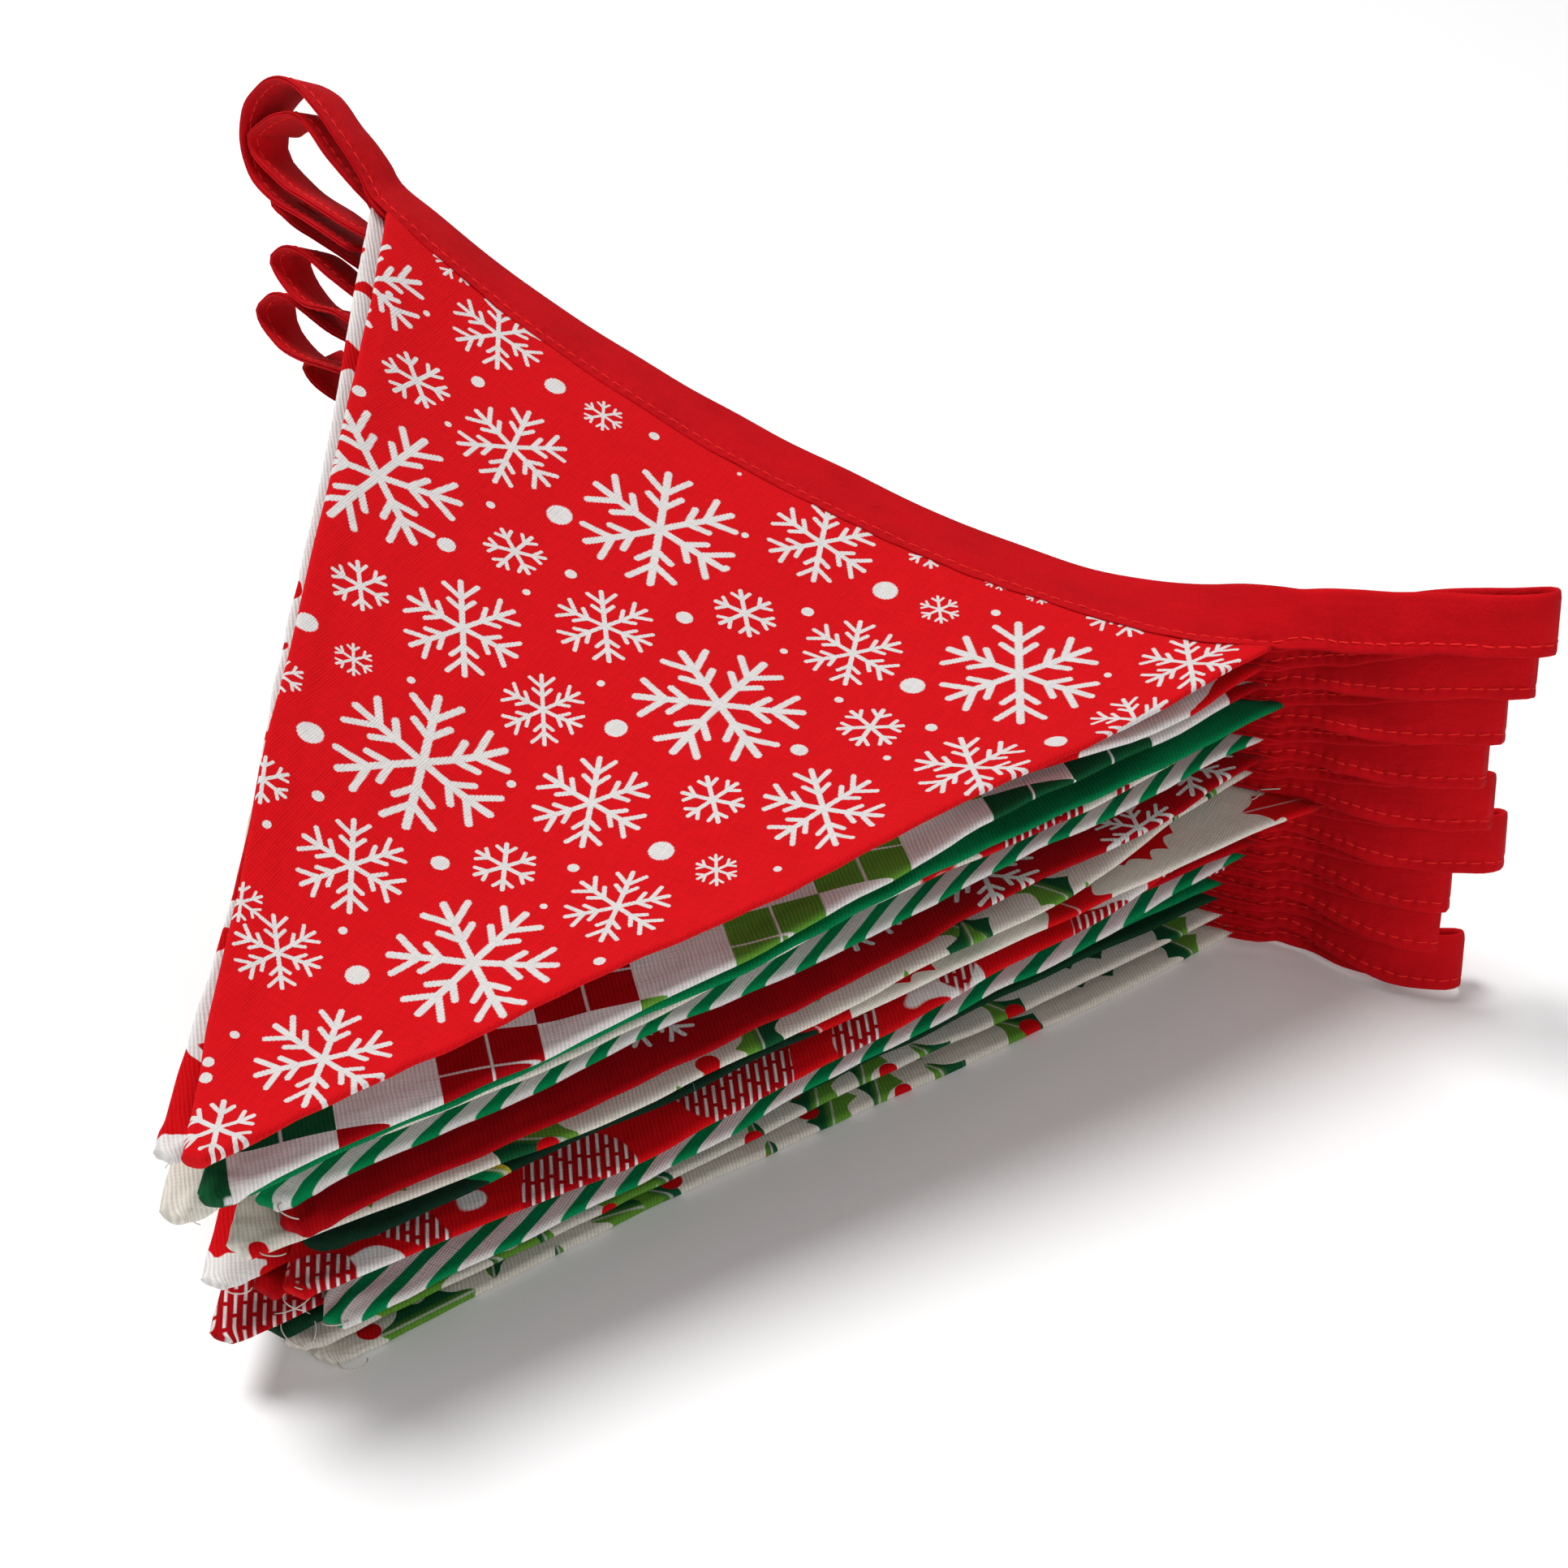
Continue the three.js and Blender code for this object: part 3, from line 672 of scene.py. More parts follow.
def make_flag(level):
    node, _, _, _, length, _ = FLAGS[level]
    left, right, tip = PLANS[level]
    across_count, down_count = TOP_GRID if level == TOP_LEVEL else LOWER_GRID
    u = 0.5 - 0.5 * np.cos(np.pi * np.arange(across_count + 1) / across_count)
    v_end = 1 - 0.25 / length
    v = (1 - (1 - np.linspace(0, 1, down_count + 1)) ** ROW_CROWDING) * v_end
    u, v = np.meshgrid(u, v)
    to_tip = (1 - v) * length
    round_off = 1 - np.minimum(to_tip / TIP_ROUND, 1)
    width = FLAG_WIDTH * (1 - v) + TIP_WIDTH * np.sqrt(1 - round_off**2)
    share = width / (FLAG_WIDTH * (1 - v) + TIP_WIDTH * v + 1e-9)
    tip_x = tip[0] + (u - 0.5) * TIP_WIDTH
    grid_u = 0.5 + (u - 0.5) * share
    x = blend(blend(left[0], right[0], grid_u), tip_x, v)
    y = blend(blend(left[1], right[1], grid_u), tip[1], v)
    sideways = edge_stray(level, 1, v) * u**2 - edge_stray(level, -1, v) * (1 - u) ** 2
    x = x + sideways
    z = surface_high(level, x, y) + flag_ripple(level, x, y, v, length)
    draw = random.Random(500 + level)
    curl = draw.uniform(*TIP_CURL)
    twist = draw.uniform(-TIP_TWIST, TIP_TWIST) * min(1, level)
    near_tip = smooth((TIP_LENGTH - to_tip) / TIP_LENGTH)
    creases = make_ripple(600 + level, 6)(x, y)
    z = z + curl * near_tip**2 + TIP_CREASE * creases * near_tip
    z = z + twist * (u - 0.5) * width * near_tip
    from_side = np.minimum(u, 1 - u) * width * 0.9
    rounded = np.minimum(from_side, to_tip) / blend(EDGE_RADIUS, TIP_EDGE_RADIUS, near_tip)
    lip = np.sqrt(1 - (1 - np.minimum(rounded, 1)) ** 2)
    inside = smooth((np.minimum(from_side, to_tip) - ALLOWANCE + 2) / ALLOWANCE_FADE)
    half = blend(EDGE_THICK, MIDDLE_THICK, inside)
    tip_thick = blend(LOW_TIP_THICK, TOP_TIP_THICK, level / TOP_LEVEL)
    folds = make_ripple(700 + level, 9)(x, y)
    half = blend(half, tip_thick * (1 + TIP_FOLD * folds), near_tip) * lip
    z = np.maximum(z, half + FLOOR_CLEAR)
    rows, columns = u.shape
    faced = [np.stack([x, y, face], -1).reshape(-1, 3) for face in (z + half, z - half)]
    points = np.vstack(faced)
    total = rows * columns
    index = np.arange(total).reshape(rows, columns)
    under = index + total
    under[:, [0, -1]] = index[:, [0, -1]]
    under[-1] = index[-1]
    faces = []
    for j in range(rows - 1):
        for i in range(columns - 1):
            faces.append((index[j, i], index[j + 1, i], index[j + 1, i + 1], index[j, i + 1]))
            faces.append((under[j, i], under[j, i + 1], under[j + 1, i + 1], under[j + 1, i]))
    for i in range(columns - 1):
        faces.append(tuple(dict.fromkeys((index[0, i], index[0, i + 1], under[0, i + 1], under[0, i]))))
    used = np.unique([corner for face in faces for corner in face])
    new = np.full(2 * total, -1)
    new[used] = np.arange(len(used))
    faces = [tuple(int(new[k]) for k in face) for face in faces]
    cloth = np.stack([(u - 0.5) * width + sideways, v * length], -1).reshape(-1, 2)
    flag = make_piece(node + "_cloth", points[used], faces)
    set_uv(flag, "cloth", cloth[used % total])
    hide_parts(node)
    return flag


# Snowflakes of the top flag. Columns: across, down, radius, turn of an arm in degrees.
FLAKES = [
    (-19.4, 29.2, 17, 5), (-65, 61.6, 16.5, 30), (62.2, 25.6, 17, 3), (16.6, 65.6, 17, 32),
    (-20.5, 111.4, 16.8, 6), (13.7, 145.3, 15.5, 35), (-72.2, 8.4, 10, -2), (-53, 32.4, 11.5, 15),
    (-12.8, 60.4, 10.3, 53), (-33, 79.8, 12, 54), (-10.6, 86, 8.5, 55), (8.6, 10.8, 11.8, 9),
    (29.8, 35.6, 10.5, 10), (92.2, 10, 10.5, 2), (68.3, 58.6, 11.5, 52), (48.6, 81.2, 12, 49),
    (9.2, 100, 11.5, 6), (28.1, 120.7, 10, 15), (-16, 139.8, 10.3, 57), (-15.4, 162.4, 8, 48),
    (5.1, 177.2, 12, 9), (-96.5, 22, 13, 5), (90.5, 32.5, 9, 50), (72.5, -3, 9, 0),
    (-44.6, 10.8, 4.4, 0), (-75.4, 33.6, 6.8, 37), (-37, 55.6, 6.2, 30), (-52.2, 86, 5.8, 50),
    (-43, 101.2, 3.8, 54), (38.6, 14.8, 4.3, 57), (6.6, 38.8, 6.6, 51), (44.3, 54.8, 6.6, 25),
    (29, 88.8, 6.3, 49), (39, 104.2, 4.2, 58), (4.9, 122.4, 6.2, 0), (-0.3, 198.8, 6.5, 2),
    (-88, 0, 5, 30), (45.1, 0, 3.5, 0), (54.5, 0, 3.5, 0), (28.6, 0, 5, 0),
    (-49, 115.4, 4.5, 0), (-37.2, 136.6, 5, 0), (-26, 158.5, 4, 0),
]
SMALL_FLAKE = 7
FAR_FLAKE = (400, 400, 10, 0)
SMALL_MARK = 40

# Dots between them. Columns: across, down, radius.
DOTS = [
    (-56.1, 11.4, 2.2), (-34.1, 7.4, 1.1), (-84.2, 17, 0.7), (-67.7, 22.8, 1.4), (-65, 37.6, 0.7),
    (-36.5, 40.2, 2.6), (-5, 19, 0.8), (-47.3, 48.8, 0.9), (-25.8, 52.6, 1.2), (-2, 48, 1.7),
    (-46.9, 64.8, 1.8), (-29.3, 63.2, 0.8), (-5, 74.2, 0.8), (-33, 97, 0.8), (-5.8, 104.2, 0.9),
    (-15.2, 4, 0.5), (-91, 20.4, 0.8), (3.5, 82.2, 2.2), (-53.4, 101.4, 2.2), (-79.6, 47.2, 1.4),
    (26.2, 15.2, 2.6), (49.2, 10.2, 1), (78.2, 18.2, 0.8), (16.2, 30, 1.3), (45.1, 38.8, 2.5),
    (18.2, 43.2, 0.8), (34.6, 50, 0.9), (54.6, 49, 1.2), (79.4, 45, 2.2), (51.8, 62, 0.8),
    (36.2, 68.6, 1.7), (49.2, 99.4, 0.8), (27.3, 104.4, 2.4), (-3, 30, 0.8), (-37.7, 121.8, 2.4),
    (-4.6, 128.9, 1.7), (-28.8, 131.9, 1.1), (15.4, 115.7, 1.1), (16.5, 127.1, 0.7), (33.6, 135.1, 1.1),
    (-31.5, 143.3, 0.8), (-9.3, 151.9, 0.8), (-1.6, 158.4, 2.1), (-10.3, 181.1, 0.8),
    (-10.3, 188.2, 1), (-8.7, 191, 1.1),
]


# Each face gets the place of its nearest motifs, in the motif's own turned and scaled axes.
def set_motifs(piece, keep=lambda across: True):
    mesh = piece.data
    cloth = np.empty(2 * len(mesh.loops))
    mesh.uv_layers["cloth"].data.foreach_get("uv", cloth)
    cloth = cloth.reshape(-1, 2)
    starts, sizes = np.empty((2, len(mesh.polygons)), int)
    mesh.polygons.foreach_get("loop_start", starts)
    mesh.polygons.foreach_get("loop_total", sizes)
    face_of = np.repeat(np.arange(len(starts)), sizes)
    centres = np.add.reduceat(cloth, starts, axis=0) / sizes[:, None]
    flakes = np.array([row for row in FLAKES if keep(row[0])] + [FAR_FLAKE])
    apart = np.linalg.norm(centres[:, None, :] - flakes[None, :, :2], axis=2) / flakes[None, :, 2]
    order = np.argsort(apart, axis=1)
    for rank, layer in enumerate(("flake_near", "flake_next")):
        chosen = flakes[order[:, rank]][face_of]
        turn = np.radians(chosen[:, 3])
        moved = (cloth - chosen[:, :2]) / chosen[:, 2:3]
        local = np.stack(in_turned_axes(*moved.T, np.cos(turn), np.sin(turn)), 1)
        local[:, 0] += np.where(chosen[:, 2] < SMALL_FLAKE, SMALL_MARK, 0)
        add_layer(mesh, layer, local)
    dots = np.array([row for row in DOTS if keep(row[0])])
    apart = np.linalg.norm(centres[:, None, :] - dots[None, :, :2], axis=2) - dots[None, :, 2]
    chosen = dots[np.argmin(apart, axis=1)][face_of]
    add_layer(mesh, "dot", (cloth - chosen[:, :2]) / chosen[:, 2:3])


# Loose sewing threads at the tips and right corners. Columns: level, place down the right
# edge, heading in degrees, length, curl in degrees per mm, rise.
LOOSE_THREADS = [
    (9, 0.004, -5, 6, 12, 0.3), (9, 0.007, -35, 4.5, -24, 0.2),
    (12, 0.995, -100, 7, 22, 0.5), (14, 0.995, -80, 5, -20, 0.4), (10, 0.99, -60, 6, 25, 0.4),
    (8, 0.99, -120, 6, -18, 0.3), (6, 0.99, -95, 7, 20, 0.4), (3, 0.995, -100, 24, 16, 0.9),
    (1, 0.995, -110, 20, -19, 0.7), (0, 0.995, -70, 9, 22, 0.2), (16, 0.99, -140, 4, 14, 0.3),
    (7, 0.995, -90, 8, 26, 0.3), (5, 0.995, -80, 6, -22, 0.3), (13, 0.99, -100, 5, 24, 0.3),
]
THREAD_RADIUS = 0.13
THREAD_STEP = 0.6
THREAD_INSET = 0.5
THREAD_LIFT = 0.9
THREAD_LOWEST = 0.3


def make_loose_threads():
    rows = []
    faces = []
    for level, place, heading, length, curl, rise in LOOSE_THREADS:
        _, right, tip = PLANS[level]
        x = blend(right[0], tip[0] + TIP_WIDTH / 2, place) - THREAD_INSET
        y = blend(right[1], tip[1], place)
        z = float(surface_high(level, x, y)) + THREAD_LIFT
        steps = int(length / THREAD_STEP)
        start = len(rows)
        for step in range(steps + 1):
            way = math.radians(heading + curl * step * THREAD_STEP)
            if step > 0:
                x += math.cos(way) * THREAD_STEP
                y += math.sin(way) * THREAD_STEP
                z = max(THREAD_LOWEST, z + rise * THREAD_STEP * math.cos(math.pi * step / steps))
            side = np.array([-math.sin(way), math.cos(way), 0])
            rows += thread_ring(np.array([x, y, z]), THREAD_RADIUS, side, np.array([0, 0, 1]))
        faces += tube_faces(start, steps + 1, THREAD_SIDES)
    return make_piece("loose_threads", rows, faces)


# Arithmetic made of shader nodes.
def arithmetic(operation, turned_round=False):
    def act(self, other):
        values = (other, self) if turned_round else (self, other)
        return self.cloth.math(operation, *values)

    return act


class Formula:
    __add__ = arithmetic("ADD")
    __radd__ = __add__
    __sub__ = arithmetic("SUBTRACT")
    __rsub__ = arithmetic("SUBTRACT", True)
    __mul__ = arithmetic("MULTIPLY")
    __rmul__ = __mul__
    __truediv__ = arithmetic("DIVIDE")

    def __init__(self, cloth, socket):
        self.cloth = cloth
        self.socket = socket

    def __abs__(self):
        return self.cloth.math("ABSOLUTE", self)


SPECULAR = 0.06
SHEEN = 0.01
BUMP_STRENGTH = 0.9


class Cloth:
    def __init__(self, name):
        self.material = bpy.data.materials.new(name)
        self.material.use_nodes = True
        self.nodes = self.material.node_tree.nodes
        self.links = self.material.node_tree.links
        self.shader = self.nodes["Principled BSDF"]

    def finish(self, colour, roughness, height, depth, sheen=0):
        inputs = self.shader.inputs
        self.put(inputs["Base Color"], colour)
        inputs["Roughness"].default_value = roughness
        inputs["Specular IOR Level"].default_value = SPECULAR
        inputs["Sheen Weight"].default_value = sheen
        inputs["Sheen Roughness"].default_value = 0.5
        bump = self.add("Bump")
        bump.inputs["Strength"].default_value = BUMP_STRENGTH
        bump.inputs["Distance"].default_value = depth * MM
        self.put(bump.inputs["Height"], height)
        self.links.new(bump.outputs[0], inputs["Normal"])
        return self.material

    def add(self, kind, **settings):
        node = self.nodes.new("ShaderNode" + kind)
        for name, value in settings.items():
            setattr(node, name, value)
        return node

    def put(self, socket, value):
        if isinstance(value, Formula):
            self.links.new(value.socket, socket)
        else:
            socket.default_value = value

    def math(self, operation, *values, clamp=False):
        node = self.add("Math", operation=operation, use_clamp=clamp)
        for socket, value in zip(node.inputs, values):
            self.put(socket, value)
        return Formula(self, node.outputs[0])

    def parts(self, output):
        node = self.add("SeparateXYZ")
        self.links.new(output, node.inputs[0])
        return [Formula(self, part) for part in node.outputs]

    def uv(self, layer):
        return self.parts(self.add("UVMap", uv_map=layer).outputs[0])[:2]

    def vector(self, x, y):
        node = self.add("CombineXYZ")
        self.put(node.inputs[0], x)
        self.put(node.inputs[1], y)
        return Formula(self, node.outputs[0])

    def noise(self, x, y, size, detail=2):
        node = self.add("TexNoise", noise_dimensions="2D")
        self.put(node.inputs["Vector"], self.vector(x, y))
        node.inputs["Scale"].default_value = 1 / size
        node.inputs["Detail"].default_value = detail
        return Formula(self, node.outputs[0])

    def chance(self, x, y):
        node = self.add("TexWhiteNoise", noise_dimensions="2D")
        self.put(node.inputs["Vector"], self.vector(x, y))
        return Formula(self, node.outputs["Value"])

    def mix(self, first, second, share):
        node = self.add("Mix", data_type="RGBA")
        self.put(node.inputs[0], share)
        self.put(node.inputs[6], first)
        self.put(node.inputs[7], second)
        return Formula(self, node.outputs[2])

    def scaled(self, colour, amount):
        node = self.add("VectorMath", operation="SCALE")
        self.put(node.inputs[0], colour if isinstance(colour, Formula) else colour[:3])
        self.put(node.inputs["Scale"], amount)
        return Formula(self, node.outputs[0])

    def least(self, a, b):
        return self.math("MINIMUM", a, b)

    def most(self, a, b):
        return self.math("MAXIMUM", a, b)

    def size(self, x, y):
        return self.math("SQRT", x * x + y * y)

    def clamp(self, value):
        return self.math("ADD", value, 0, clamp=True)

    # One inside a printed shape, zero outside, from the distance in mm past its edge.
    def inside(self, distance, soft=0.14):
        return self.math("MULTIPLY_ADD", distance, -1 / soft, 0.5, clamp=True)

    # One on the crest of a wave that repeats each whole number, zero in its trough.
    def crest(self, turns):
        return self.math("COSINE", turns * math.tau) * 0.5 + 0.5

    def turned(self, x, y, degrees):
        angle = math.radians(degrees)
        return in_turned_axes(x, y, math.cos(angle), math.sin(angle))

    # How far a value is from the nearest whole number.
    def off_whole(self, value):
        return abs(value - self.math("ROUND", value))

    # The cell that a point is in, and the point's place from the cell's middle.
    def cells(self, x, y, size):
        column = self.math("FLOOR", x / size)
        row = self.math("FLOOR", y / size)
        return column, row, x - (column + 0.5) * size, y - (row + 0.5) * size

    def spun(self, x, y, angle):
        return in_turned_axes(x, y, self.math("COSINE", angle), self.math("SINE", angle))

    # Distance to a rounded stroke from one point to another.
    def stroke(self, x, y, start, end, half_width):
        run_x = end[0] - start[0]
        run_y = end[1] - start[1]
        dx = x - start[0]
        dy = y - start[1]
        share = self.clamp((dx * run_x + dy * run_y) / (run_x * run_x + run_y * run_y))
        return self.size(dx - share * run_x, dy - share * run_y) - half_width


LIGHT_LEVEL = 1.12


def display(red, green, blue):
    def linear(value):
        value = value / 255
        return (value / 12.92 if value <= 0.04045 else ((value + 0.055) / 1.055) ** 2.4) / LIGHT_LEVEL

    return (linear(red), linear(green), linear(blue), 1)


SNOW_RED = display(219, 16, 24)
OFF_WHITE = display(227, 224, 222)
RIBBED_WHITE = display(238, 234, 232)
CREAM = display(230, 224, 212)
BRIGHT_GREEN = display(0, 134, 78)
LEAF_GREEN = display(98, 152, 52)
DEEP_GREEN = display(18, 84, 48)
NIGHT_GREEN = display(16, 46, 32)
DARK_RED = display(172, 4, 14)
BRIGHT_RED = display(212, 10, 18)
YELLOW = display(238, 200, 40)
TAPE_RED = display(203, 12, 22)
STITCH_RED = display(244, 46, 42)
PALE_THREAD = display(222, 214, 204)


# A snowflake of radius 1, folded to half an arm: a stem and two pairs of prongs.
FLAKE_SIZE = 12


def flake(cloth, layer):
    x, y = cloth.uv(layer)
    small = cloth.math("GREATER_THAN", x, SMALL_MARK / 2)
    x = x - small * SMALL_MARK
    away = cloth.size(x, y)
    turns = cloth.math("ARCTAN2", y, x) / (math.tau / 6)
    fold = cloth.off_whole(turns) * (math.tau / 6)
    px = away * cloth.math("COSINE", fold)
    py = away * cloth.math("SINE", fold)
    stem = cloth.stroke(px, py, (0, 0), (0.95, 0), 0.047)
    outer = cloth.stroke(px, py, (0.61, 0), (0.88, 0.27), 0.043)
    inner = cloth.stroke(px, py, (0.36, 0), (0.56, 0.20), 0.043)
    large_shape = cloth.least(stem, cloth.least(outer, inner))
    small_outer = cloth.stroke(px, py, (0.55, 0), (0.82, 0.27), 0.062)
    small_shape = cloth.least(stem - 0.025, small_outer)
    return (large_shape + (small_shape - large_shape) * small) * FLAKE_SIZE


def snow_print(cloth, x, y):
    ragged = (cloth.threads - 0.5) * 0.16
    near = flake(cloth, "flake_near") + ragged
    far = flake(cloth, "flake_next") + ragged
    dot_x, dot_y = cloth.uv("dot")
    dot = cloth.size(dot_x, dot_y) * 1.6 - 1.6 + ragged
    cover = cloth.inside(cloth.least(dot, cloth.least(near, far)))
    return cloth.mix(SNOW_RED, OFF_WHITE, cover)


def dark_red_print(cloth, x, y):
    return cloth.mix(DARK_RED, OFF_WHITE, cloth.inside(flake(cloth, "flake_near")))


# Red patches near the left side. Columns: middle down the flag, half height.
LEFT_PATCHES = [(38, 3), (146, 14), (195.5, 7.5)]


def candy_print(cloth, x, y):
    bands = (x + y * 0.05 - 1) / 28
    from_middle = cloth.off_whole(bands) * 28
    wander = (cloth.noise(x, y, 9) - 0.5) * 5
    cover = cloth.inside(from_middle - 7.2 + wander)
    down = y + (cloth.noise(x, y, 8) - 0.5) * 9
    patch = cloth.inside((0.64 - cloth.noise(x, y, 9, 1)) * 50, 0.5)
    for middle, reach in LEFT_PATCHES:
        patch = cloth.most(patch, cloth.inside(abs(down - middle) - reach, 0.3))
    on_left = cloth.inside(x + 103.5 - y * 0.49 - 30, 1)
    cover = cover + (patch - cover) * on_left
    return cloth.mix(RIBBED_WHITE, BRIGHT_RED, cover)


# The turn of the cloth's grain from the seam, in degrees.
GRAIN = 48
BLOCK = 18.5


# Red, leaf green and deep green blocks with fine lines, every other one left white.
def check_print(cloth, x, y):
    u, v = cloth.turned(x + 6, y, GRAIN)
    column, row, du, dv = cloth.cells(u, v, BLOCK)
    odd = cloth.math("FLOORED_MODULO", column + row, 2)
    draw = cloth.math("FLOORED_MODULO", column + row * 0.5 + 0.25, 1.5) / 1.5
    colour = cloth.mix(DARK_RED, LEAF_GREEN, cloth.math("GREATER_THAN", draw, 0.34))
    colour = cloth.mix(colour, DEEP_GREEN, cloth.math("GREATER_THAN", draw, 0.67))
    line_gap = cloth.least(abs(du), abs(dv))
    colour = cloth.mix(colour, OFF_WHITE, cloth.inside(line_gap - 0.26, 0.2))
    return cloth.mix(RIBBED_WHITE, colour, odd)


# Green stripes on white, from their pitch and their tilt from the flag's length.
def striped(period, tilt):
    def paint(cloth, x, y):
        u, _ = cloth.turned(x, y, tilt)
        sway = cloth.math("SINE", y / 9) * 0.4
        bands = (u + sway) / period
        from_middle = cloth.off_whole(bands) * period
        return cloth.mix(OFF_WHITE, BRIGHT_GREEN, cloth.inside(from_middle - period * 0.22))

    return paint


HOLLY_GREENS = (DEEP_GREEN, LEAF_GREEN)
VEIN_HALF = 0.22


# Pointed leaves with cusps along their sides and a pale vein, at most one in each cell,
# turned and shaded by chance.
def leaves_on(
        cloth, ground, x, y, cell, long, wide, seed, often, cusps=3, depth=0.5, colours=HOLLY_GREENS):
    column, row, dx, dy = cloth.cells(x, y, cell)
    draw = cloth.chance(column + seed, row)
    turn = cloth.chance(column, row + seed) * math.tau
    lx, ly = cloth.spun(dx, dy, turn)
    t = cloth.clamp(lx / long + 0.5)
    notches = abs(cloth.math("SINE", t * math.pi * cusps))
    half = cloth.math("SINE", t * math.pi) * (1 - notches * depth) * (wide / 2)
    gap = abs(ly)
    shade = cloth.mix(colours[0], colours[1], cloth.clamp((ly + 1) * 0.5 + (draw - 0.3) * 1.5))
    shade = cloth.mix(shade, OFF_WHITE, cloth.inside(gap - VEIN_HALF, 0.3) * 0.6)
    present = cloth.math("LESS_THAN", draw, often)
    return cloth.mix(ground, shade, cloth.inside(gap - half) * present)


def holly_print(cloth, x, y):
    colour = leaves_on(cloth, CREAM, x, y, 21, 20.5, 13, 5, 0.75)
    colour = leaves_on(cloth, colour, x + 10, y + 11, 26, 24, 13, 17, 0.6)
    column, row, dx, dy = cloth.cells(x + 4, y, 15)
    here = cloth.math("LESS_THAN", cloth.chance(column, row + 2), 0.35)
    return cloth.mix(colour, BRIGHT_RED, cloth.inside(cloth.size(dx, dy) - 2.3) * here)


# Rows of short white dashes on red.
DASH_ROWS = 1.7
DASH_PITCH = 6


def dashes_print(cloth, x, y):
    u, v = cloth.turned(x, y, GRAIN + 6)
    _, row, _, dv = cloth.cells(u, v, DASH_ROWS)
    shift = cloth.noise(row * DASH_ROWS, 0, 3.5, 0) * 9
    _, _, along_dash, _ = cloth.cells(u + shift, v, DASH_PITCH)
    gap = cloth.most(abs(along_dash) - 2.5, abs(dv) - 0.27)
    return cloth.mix(DARK_RED, OFF_WHITE, cloth.inside(gap, 0.2))


# Large patches: pale ground, plain red and dashed red.
def patches(cloth, x, y, ground, red_from, dashed_from):
    field = cloth.noise(x, y, 17, 1)
    colour = cloth.mix(ground, BRIGHT_RED, cloth.inside((field - red_from) * 60, 1))
    field = cloth.noise(x + 70, y, 15, 0)
    here = cloth.inside((field - dashed_from) * 60, 1)
    return cloth.mix(colour, dashes_print(cloth, x, y), here)


def leaves_print(cloth, x, y):
    return patches(cloth, x, y, RIBBED_WHITE, 0.56, 0.5)


def sprig_print(cloth, x, y):
    dashed = patches(cloth, x, y, CREAM, 0.42, 0.44)
    plain = leaves_on(cloth, CREAM, x, y, 22, 20, 11, 7, 0.4)
    return cloth.mix(dashed, plain, cloth.inside(95 - y, 2))


# Large red serrated leaves on cream, then a dark field with small bright bits near the tip.
def mixed_print(cloth, x, y):
    pale = leaves_on(
        cloth, CREAM, x + 7, y + 12, 26, 25, 17, 9, 1.1, 5, 0.34, (BRIGHT_RED, BRIGHT_RED))
    dark = leaves_on(cloth, NIGHT_GREEN, x, y, 30, 15, 5, 3, 0.5, 1, 0, (BRIGHT_GREEN, YELLOW))
    border = 108 + (cloth.noise(x, y, 12) - 0.5) * 22
    return cloth.mix(pale, dark, cloth.inside(border - y, 0.3))


# One colour, clouded by at most the given share of a second.
def plain(first, second, most):
    def paint(cloth, x, y):
        return cloth.mix(first, second, cloth.noise(x, y, 30) * most)

    return paint


# Threads: a plain weave, or ribs that stand out more one way. Columns: thread pitch, turn of
# the threads, share of the ribs, depth of the shade between threads.
PLAIN_WEAVE = (0.52, 0, 0.5, 0.16)
RIBBED = (0.75, GRAIN - 90, 0.85, 0.24)
PRINTS = {
    "snow": snow_print, "candy": candy_print, "check": check_print, "sprig": sprig_print,
    "mixed": mixed_print, "holly": holly_print, "dark_red": dark_red_print, "leaves": leaves_print,
    "dashes": dashes_print, "twist": striped(4.9, 3), "stripes": striped(5.5, 5),
    "green": plain(BRIGHT_GREEN, DEEP_GREEN, 0.25), "red": plain(DARK_RED, BRIGHT_RED, 0.3),
    "deep_green": plain(NIGHT_GREEN, DEEP_GREEN, 0.5),
}
PLAIN_WOVEN = ("snow", "mixed", "twist", "stripes")
THREAD_DEPTH = 0.09
TAPE_DEPTH = 0.16
TWIST_DEPTH = 0.04
TWIST_LENGTH = 0.5


def cotton(name):
    cloth = Cloth("cotton_" + name)
    pitch, turn, ribs, shade = PLAIN_WEAVE if name in PLAIN_WOVEN else RIBBED
    x, y = cloth.uv("cloth")
    u, v = cloth.turned(x, y, turn)
    wander = (cloth.noise(u, v, 7) - 0.5) * 0.8
    warp = cloth.crest((u + wander) / pitch)
    weft = cloth.crest((v + wander) / (pitch * 1.04))
    threads = warp * ribs + weft * (1 - ribs)
    slubs = cloth.noise(u / 0.45, v / 6, 1, 1) + cloth.noise(u / 6, v / 0.45, 1, 1)
    cloth.threads = threads
    colour = PRINTS[name](cloth, x, y)
    light = threads * shade + (1 - shade) + (slubs - 1) * 0.16
    height = threads + (slubs - 1) * 0.7
    return cloth.finish(cloth.scaled(colour, light), 0.88, height, THREAD_DEPTH, SHEEN)


